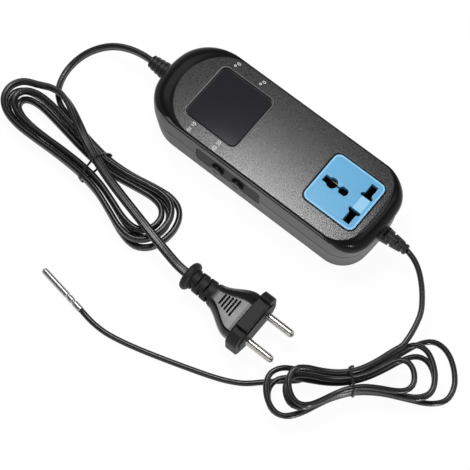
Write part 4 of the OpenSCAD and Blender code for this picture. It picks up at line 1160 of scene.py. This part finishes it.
class CONTROLLER_OT_marks(bpy.types.Operator):
    """Prints plain numerals and degree rings beside the window"""
    bl_idname = "controller.marks"
    bl_label = "Printed Marks"

    def execute(self, context):
        top = Shape().top
        pieces = []
        for word, x, y, size in (("01 10", -43.3, -24, 3.1), ("02 20", -24.4, -24, 3.1),
                                 ("0", -47.2, 25.1, 3.4), ("0", -28.2, 25.1, 3.4)):
            deselect()
            bpy.ops.object.text_add()
            text = bpy.context.object
            text.data.body = word
            text.data.size = size * MM
            text.data.align_x = text.data.align_y = "CENTER"
            text.data.extrude = 0.03 * MM
            text.data.offset = 0.02 * MM
            mark = as_mesh(text)
            mark.rotation_euler = (0, 0, math.radians(90))
            mark.location = mm(x, y, top + 0.02)
            pieces.append(settle(mark))
        ring = [(0.35, 0), (0.75, 0), (0.75, 0.05), (0.35, 0.05), (0.35, 0)]
        pieces += [turned(ring, (x, 22.9, top), (0, 0, 1), 20) for x in (-48.4, -29.4)]
        place(joined(pieces, "printed_marks"), "printed_marks", "print")
        return {"FINISHED"}


class CONTROLLER_OT_button_panel(bpy.types.Operator):
    """Builds the plate in the side wall with its two round openings"""
    bl_idname = "controller.button_panel"
    bl_label = "Button Panel"

    def execute(self, context):
        s = Shape()
        face, back = s.half_w - PANEL_SUNK, s.half_w - s.wall - 0.5
        plate = block((47.6, 14.4, face - back), (PANEL_X, -(face + back) / 2, PANEL_Z), 2.2, 0.35, UPRIGHT)
        flange = block((50, 16.8, 1.05), (PANEL_X, -back + 0.475, PANEL_Z), 2.2, 0.15, UPRIGHT)
        dish = [(0, -0.55), (4.2, -0.55), (4.9, 0.1), (4.9, 1), (0, 1)]
        for side in SIDES:
            at = (PANEL_X + side * BUTTON_OFF, -face, BUTTON_Z)
            for target in (plate, flange):
                cut(target, plunge(4.06, -4, 4, at, (0, -1, 0)))
            cut(plate, turned(dish, at, (0, -1, 0)))
        panel = smooth(joined([plate, flange], "side_panel"), 35)
        place(panel, "side_panel", "panel", stands_for=("button_panel",))
        return {"FINISHED"}


class CONTROLLER_OT_buttons(bpy.types.Operator):
    """Turns the two round buttons, each with a dished face and its guide flange"""
    bl_idname = "controller.buttons"
    bl_label = "Buttons"

    def execute(self, context):
        face = Shape().half_w - PANEL_SUNK
        out = 2.2
        deep = -(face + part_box("up_button")[1][1] / MM)
        dish = [(0, out - 0.35), (1.2, out - 0.31), (2.2, out - 0.18), (2.9, out - 0.02), (3.3, out)]
        rim = [(3.55, out - 0.04), (3.78, out - 0.14), (3.93, out - 0.32), (4.0, out - 0.6), (4.0, out - 1.5)]
        profile = dish + rim + [(4.0, deep + 0.8), (5.0, deep + 0.8), (5.0, deep), (0, deep)]
        for name, side in (("up", 1), ("down", -1)):
            key = smooth(turned(profile, (PANEL_X + side * BUTTON_OFF, -face, BUTTON_Z), (0, -1, 0), 56), 35)
            place(key, name + "_cap", "key", body=name + "_key", stands_for=(name + "_button",))
        return {"FINISHED"}


class CONTROLLER_OT_outlet(bpy.types.Operator):
    """Builds the face of the universal outlet with its bevelled apertures and raised rim"""
    bl_idname = "controller.outlet"
    bl_label = "Outlet Face"

    def execute(self, context):
        s = Shape()
        line_x = s.outlet_l / 3.1
        holes = [live_aperture(line_x, 1), live_aperture(line_x, -1), earth_aperture(line_x)]
        top = s.top + OUTLET_PROUD
        outer = round_outline(s.outlet_l, s.outlet_w, s.outlet_r)
        within = round_outline(s.outlet_l - 2.6, s.outlet_w - 2.6, s.outlet_r - 1.1)[::-1]
        seat = round_outline(s.outlet_l + 3.2, s.outlet_w + 3.2, s.outlet_r)
        face = sheet_of("outlet_plate", outer, holes, top - 4.2, top - 0.3, 0.5)
        rim = sheet_of("outlet_rim", outer, [within], top - 1.6, top, 0.32)
        flange = sheet_of("outlet_flange", seat, holes, s.inner - 1.7, s.inner - 0.1, 0.1)
        # The sunken saddle between the two live slots
        cut(face, block((6.4, 13.6, 0.5), (line_x + 0.6, 0, top - 0.35), 0.8, 0.2))
        plate = joined([face, rim, flange], "outlet_plate")
        plate.location.x = s.outlet_x * MM
        place(smooth(settle(plate), 35), "outlet_plate", "blue", stands_for=("outlet_face",))
        return {"FINISHED"}


class CONTROLLER_OT_strain_reliefs(bpy.types.Operator):
    """Builds both strain reliefs: ribbed on the mains side, slotted segments on the probe side"""
    bl_idname = "controller.strain_reliefs"
    bl_label = "Strain Reliefs"

    def execute(self, context):
        s = Shape()
        self.ribbed(s, 4, 13.6)
        self.slotted(s, 4, 17.6)
        return {"FINISHED"}

    def ribbed(self, s, ribs, length):
        profile = self.flange(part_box("mains_boot")[1][0] / MM - s.left_wall)
        step = length / (ribs + 0.4)
        for k in range(ribs):
            r = mix(5.8, 4.2, k * step / length)
            x = k * step + (0.1 if k == 0 else 0)
            profile += [(r - 0.35, x), (r, x + 0.35), (r - 0.15, x + 0.6 * step), (r - 0.5, x + 0.7 * step),
                        (r - 0.95, x + 0.78 * step), (r - 0.95, x + 0.94 * step)]
        profile += [(4.2, ribs * step + 0.1), (4.2, length - 0.4), (3.8, length), (0, length)]
        piece = smooth(turned(profile, (s.left_wall, 0, s.seam), (-1, 0, 0)), 30)
        place(piece, "mains_relief", "boot", stands_for=("mains_boot",))

    def slotted(self, s, slots, length):
        wide, narrow, across = 5.4, 3.2, 24
        profile = self.flange(s.right_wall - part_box("probe_boot")[0][0] / MM) + [(5.1, 0.1), (wide, 0.4)]
        profile += [(mix(wide, narrow, i / 8), 0.4 + (length - 0.8) * i / 8) for i in range(1, 9)]
        piece = turned(profile + [(2.9, length), (0, length)], (s.right_wall, 0, s.seam), (1, 0, 0))
        step = length / (slots + 0.3)
        for k in range(1, slots + 1):
            for side in SIDES:
                x, off = s.right_wall + k * step - 0.3 * step, side * (2.1 + wide)
                if k % 2:
                    size, at = (0.34 * step, across, 2 * wide), (x, 0, s.seam + off)
                else:
                    size, at = (0.34 * step, 2 * wide, across), (x, off, s.seam)
                cut(piece, block(size, at, 0, 0.2))
        place(smooth(piece, 30), "probe_relief", "boot", stands_for=("probe_boot",))

    def flange(self, lap):
        """The part of a strain relief inside the housing, which laps the wall."""
        return [(0, -lap), (6.2, -lap), (6.2, 2 - lap), (4.4, 2 - lap), (4.4, 0.1)]


class CONTROLLER_OT_plug(bpy.types.Operator):
    """Builds the moulded plug: ring, slotted neck, flared body with grip lines, and collar"""
    bl_idname = "controller.plug"
    bl_label = "Plug"

    def execute(self, context):
        x0, y0, z0 = PLUG_AT
        bead = [(6.6 + 2.5 * math.sin(t), 3 - 2.5 * math.cos(t)) for t in (math.pi * i / 14 for i in range(15))]
        ring = turned([(0, 0.5)] + bead + [(0, 5.5)], PLUG_AT, (1, 0, 0), 56)
        neck = turned([(0, 3), (6.4, 3), (6.5, 7), (7.0, 17), (7.1, 21.5), (0, 21.5)], PLUG_AT, (1, 0, 0), 56)
        for k in range(5):
            for side in SIDES:
                x, off = x0 + 6 + (k + 0.6) * 2.9, side * (0.62 * 6.5 + 6.5)
                if k % 2 == 0:
                    size, at = (1.7, 13, 9.6), (x, y0 + off, z0)
                else:
                    size, at = (1.7, 9.6, 13), (x, y0, z0 + off)
                cut(neck, block(size, at, 0.4, 0.3))
        body = self.flare(x0, y0, z0)
        collar = block((26, 38, 7.6), (x0 + COLLAR_START + 3.8, y0, z0), 7.8, 0.6, FACING_X, 8)
        face = block((18.2, 31.9, 8.6), (x0 + COLLAR_START + 4.3, y0, z0), 6.5, 0.4, FACING_X, 8)
        for sy in SIDES:
            for sz in SIDES:
                cut(collar, block((12, 4.4, 7), (x0 + 47.8, y0 + sy * 10.64, z0 + sz * 13), 0, 0.3))
        plug = smooth(joined([ring, neck, body, collar, face], "plug_moulding"), 32)
        place(plug, "plug_moulding", "plug", stands_for=("plug_body",))
        return {"FINISHED"}

    def flare(self, x0, y0, z0):
        """The flared body, with five grip lines across its upper and lower face."""
        start, grown_at = x0 + FLARE_START, 0.86
        rings = [self.section(start + FLARE_LONG * u * grown_at, u) for u in (i / 22 for i in range(23))]
        rings += [self.section(start + FLARE_LONG * k, 1.0) for k in (0.9, 0.95, 1.0)]
        body = lofted("flare", rings)
        body.location = mm(0, y0, z0)
        settle(body)
        modify(body, "BEVEL", width=0.9 * MM, segments=3, limit_method="ANGLE", angle_limit=math.radians(14))
        for k in range(5):
            x = x0 + 27.6 + 2.25 * k
            h = mix(*FLARE_HALF_H, min(1, (x - start) / (FLARE_LONG * grown_at)))
            for side in SIDES:
                at = (x, y0 - 0.8, z0 + side * h)
                cut(body, block((1.0, 7.0 + 1.1 * k, 1.0), at, 0, 0, (0, math.radians(45), 0)))
        return body

    def section(self, x, u):
        """The flare's outline: a far and a near shoulder between its flat faces and its edges."""
        w, h = mix(*FLARE_HALF_W, ease(u)), mix(*FLARE_HALF_H, u)
        near, far, m = mix(0.62, 0.86, ease(u)) * w, mix(0.34, 0.44, ease(u)) * w, 0.35 * h
        upper = [(w, -m), (w, 0), (w, m), ((w + far) / 2, 0.84 * h), (far, h), (0, h), (-near, h),
                 (-(w + near) / 2, 0.78 * h), (-w, m), (-w, 0), (-w, -m)]
        lower = [(-(w + far) / 2, -0.84 * h), (-far, -h), (0, -h), (near, -h), ((w + near) / 2, -0.78 * h)]
        return [(x, a, b) for a, b in upper + lower]


class CONTROLLER_OT_pins(bpy.types.Operator):
    """Turns the two round nickel pins of the plug"""
    bl_idname = "controller.pins"
    bl_label = "Plug Pins"

    def execute(self, context):
        x0, y0, z0 = PLUG_AT
        tip_start, shank = 69.2, 1.92
        profile = [(0, 39.2), (shank, 39.2), (shank, 52.6), (PIN_R, 52.6), (PIN_R, 60)]
        profile += [(r, tip_start + x) for r, x in arc(0, 0, PIN_R, 0, math.pi / 2, 9)]
        profile.append((0, tip_start + PIN_R))
        pins = [turned(profile, (x0, y0 + side * PIN_OFF, z0), (1, 0, 0), 40) for side in SIDES]
        pins = smooth(joined(pins, "contact_pins"), 30)
        place(pins, "contact_pins", "nickel", stands_for=("plug_pins",))
        return {"FINISHED"}


class CONTROLLER_OT_probe(bpy.types.Operator):
    """Turns the steel sensing tube with its two crimps"""
    bl_idname = "controller.probe"
    bl_label = "Probe Tube"

    def execute(self, context):
        r, length, crimp = 2.0, 34.0, 0.5
        profile = [(0, 0), (r - 0.25, 0), (r, 0.2)]
        for x in (0.16, 0.30):
            profile += [(r - crimp * (0.5 - 0.5 * math.cos(2 * math.pi * k / 8)), length * (x + 0.07 * k / 8))
                        for k in range(9)]
        profile += [(a, length - r + b) for a, b in arc(0, 0, r, 0, math.pi / 2, 9)] + [(0, length)]
        a = math.radians(171.6)
        piece = smooth(turned(profile, TAIL_ROUTE[-1], (math.cos(a), math.sin(a), 0), 40), 40)
        place(piece, "sensing_tube", "probe", stands_for=("probe_tube",))
        return {"FINISHED"}


class CONTROLLER_OT_ties(bpy.types.Operator):
    """Winds a twist tie round the waist of each hank"""
    bl_idname = "controller.ties"
    bl_label = "Twist Ties"

    def execute(self, context):
        self.tie("mains", MAINS_HANK, (MAINS_LOOPS, PLUG_ROUTE), 1.8, 1.1)
        self.tie("probe", PROBE_HANK, (PROBE_LOOPS,), 1.7, 0)
        return {"FINISHED"}

    def tie(self, name, hank, lines, half, lift):
        """Two wires side by side round all strands of a hank, and their twisted ends."""
        (cx, cy), turn = hank[0], math.radians(hank[1])
        c, s = math.cos(turn), math.sin(turn)

        def at(along, across, up):
            return mm(cx + along * c - across * s, cy + along * s + across * c, up)

        spots = []
        for line in lines:
            local = [((p.x - cx) * c + (p.y - cy) * s, (p.y - cy) * c - (p.x - cx) * s, p.z) for p in line]
            for n, z in self.crossings(local):
                spots += [(n, z - lift), (n, z + lift)]
        rim, out = [], half + 0.45
        for k in range(72):
            dn, dz = math.cos(math.radians(5 * k)), math.sin(math.radians(5 * k))
            n, z = max(spots, key=lambda p: p[0] * dn + p[1] * dz)
            rim.append((n + out * dn, max(0.4, z + out * dz)))
        wires = [[at(shift, n, z) for n, z in rim + rim[:2]] for shift in (-0.33, 0.33)]
        n0, z0 = rim[4]
        for phase in (0, math.pi):
            wires.append([at(0.35 + 0.20 * i, n0 + 0.1 + 0.38 * math.cos(phase + 0.8 * i),
                             z0 + 0.38 * math.sin(phase + 0.8 * i)) for i in range(10)])
        tie = joined([wire(points, 0.36 * MM, name) for points in wires], name + "_twist_tie")
        place(tie, name + "_twist_tie", "tie", stands_for=(name + "_tie",))

    def crossings(self, line):
        """Where a lead passes the waist: places across the hank and heights."""
        out = []
        for a, b in zip(line, line[1:]):
            if a[0] * b[0] <= 0 and a[0] != b[0]:
                k = a[0] / (a[0] - b[0])
                out.append((mix(a[1], b[1], k), mix(a[2], b[2], k)))
        return out


class CONTROLLER_OT_carried_nodes(bpy.types.Operator):
    """Gives every solid that stays as it is its own finish"""
    bl_idname = "controller.carried_nodes"
    bl_label = "Carried Solids"

    def execute(self, context):
        for name, finish in CARRIED.items():
            dress(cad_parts[name], finish)
        return {"FINISHED"}


def grown(tree, kind, *inputs, operation=None, **named):
    """Adds a shader node. Each input is a value or another node's output, by place or by name."""
    node = tree.nodes.new("ShaderNode" + kind)
    if operation:
        node.operation = operation
    for key, value in [*enumerate(inputs), *((k.replace("_", " "), v) for k, v in named.items())]:
        if isinstance(value, bpy.types.NodeSocket):
            tree.links.new(value, node.inputs[key])
        else:
            node.inputs[key].default_value = value
    return node.outputs


class CONTROLLER_OT_stage(bpy.types.Operator):
    """Sets the floor, the lamps and the pale surroundings"""
    bl_idname = "controller.stage"
    bl_label = "Stage"

    def execute(self, context):
        self.floor()
        self.surroundings(context.scene)
        for name, at, aim, size, power in (
            ("key", (-0.066, 0.090, 0.458), (0.034, -0.042, 0.037), (0.16, 0.04), 0.52),
            ("plug light", (-0.092, 0.006, 0.465), (0.020, -0.100, 0.020), (0.10, 0.10), 0.80),
            ("corner glint", (0.495, -0.289, 0.060), (0.0756, -0.0237, 0.0307), (0.05, 0.05), 1.0),
            ("left soft box", (-0.75, 0.25, 0.75), (0, -0.05, 0), (0.5, 0.5), 2.4),
            ("right soft box", (0.70, 0.35, 0.80), (0, -0.05, 0), (0.4, 0.6), 2.2),
            ("near strip", (0.25, -0.95, 0.55), (0, -0.05, 0), (0.9, 0.2), 1.6),
        ):
            light = bpy.data.lights.new(name, "AREA")
            light.shape = "RECTANGLE"
            light.size, light.size_y = size
            light.energy = power
            lamp = linked(name, light)
            away = (Vector(at) - Vector(aim)).normalized()
            side = (Vector((1, 0, 0)) - away.x * away).normalized()
            turn = Matrix((side, away.cross(side), away)).transposed()
            lamp.matrix_world = Matrix.Translation(at) @ turn.to_4x4()
        context.scene.view_settings.view_transform = "Standard"
        return {"FINISHED"}

    def floor(self):
        """A pale floor that the camera sees as almost white, apart from the object's shadow."""
        deselect()
        bpy.ops.mesh.primitive_plane_add(size=12, location=(0, 0, -0.0002))
        floor = bpy.context.object
        floor.name = "floor"
        material = bpy.data.materials.new("pale floor")
        material.use_nodes = True
        tree = material.node_tree
        tree.nodes.clear()
        path = grown(tree, "LightPath")
        matte = grown(tree, "BsdfDiffuse", Color=(0.92, 0.92, 0.92, 1))[0]
        glow = grown(tree, "Emission", Color=(1, 1, 1, 1))[0]
        pale = grown(tree, "MixShader", 0.95, matte, glow)[0]
        seen = grown(tree, "Math", path["Is Camera Ray"], path["Is Glossy Ray"], operation="MAXIMUM")[0]
        grown(tree, "OutputMaterial", Surface=grown(tree, "MixShader", seen, matte, pale)[0])
        floor.data.materials.append(material)

    def surroundings(self, scene):
        """White towards the horizon and dark overhead, as a small studio is, and white behind the object."""
        world = bpy.data.worlds.new("studio")
        scene.world = world
        world.use_nodes = True
        tree = world.node_tree
        tree.nodes.clear()
        path = grown(tree, "LightPath")
        up = grown(tree, "SeparateXYZ", grown(tree, "TexCoord")["Generated"])[2]
        fall = grown(tree, "MapRange", up, From_Min=0.03, From_Max=0.28, To_Min=1.0, To_Max=0.06)[0]
        mirrored = grown(tree, "Math", path["Is Glossy Ray"], path["Is Transmission Ray"],
                         operation="MAXIMUM")[0]
        dim, sky, white = (grown(tree, "Background", (1, 1, 1, 1), glow)[0] for glow in (0.32, fall, 1.0))
        soft = grown(tree, "MixShader", mirrored, dim, sky)[0]
        last = grown(tree, "MixShader", path["Is Camera Ray"], soft, white)[0]
        grown(tree, "OutputWorld", Surface=last)


class CONTROLLER_PT_panel(bpy.types.Panel):
    """Lists the steps that dress the controller"""
    bl_label = "Controller"
    bl_space_type = "VIEW_3D"
    bl_region_type = "UI"
    bl_category = "Controller"

    def draw(self, context):
        column = self.layout.column()
        for step in STEPS_IN_ORDER:
            column.operator(step.bl_idname)
        for group in (housing(), outlet(), leads(), studio()):
            for key in group.__annotations__:
                column.prop(group, key)


# The leads come after the pieces on them
STEPS_IN_ORDER = (
    CONTROLLER_OT_camera,
    CONTROLLER_OT_upper_housing,
    CONTROLLER_OT_lower_housing,
    CONTROLLER_OT_window,
    CONTROLLER_OT_marks,
    CONTROLLER_OT_button_panel,
    CONTROLLER_OT_buttons,
    CONTROLLER_OT_outlet,
    CONTROLLER_OT_strain_reliefs,
    CONTROLLER_OT_plug,
    CONTROLLER_OT_pins,
    CONTROLLER_OT_probe,
    CONTROLLER_OT_ties,
    CONTROLLER_OT_mains_lead,
    CONTROLLER_OT_probe_lead,
    CONTROLLER_OT_carried_nodes,
    CONTROLLER_OT_stage,
)
SETTINGS = (
    ("controller_housing", HousingSettings),
    ("controller_outlet", OutletSettings),
    ("controller_leads", LeadSettings),
    ("controller_stage", StageSettings),
)


def register():
    for key, group in SETTINGS:
        bpy.utils.register_class(group)
        setattr(bpy.types.Scene, key, bpy.props.PointerProperty(type=group))
    for step in STEPS_IN_ORDER:
        bpy.utils.register_class(step)
    bpy.utils.register_class(CONTROLLER_PT_panel)


def unregister():
    bpy.utils.unregister_class(CONTROLLER_PT_panel)
    for step in reversed(STEPS_IN_ORDER):
        bpy.utils.unregister_class(step)
    for key, group in reversed(SETTINGS):
        delattr(bpy.types.Scene, key)
        bpy.utils.unregister_class(group)


def main():
    register()
    for step in STEPS_IN_ORDER:
        area, name = step.bl_idname.split(".")
        if getattr(getattr(bpy.ops, area), name)() != {"FINISHED"}:
            raise RuntimeError(step.bl_label + " did not finish")
    deselect()


if __name__ == "__main__":
    main()
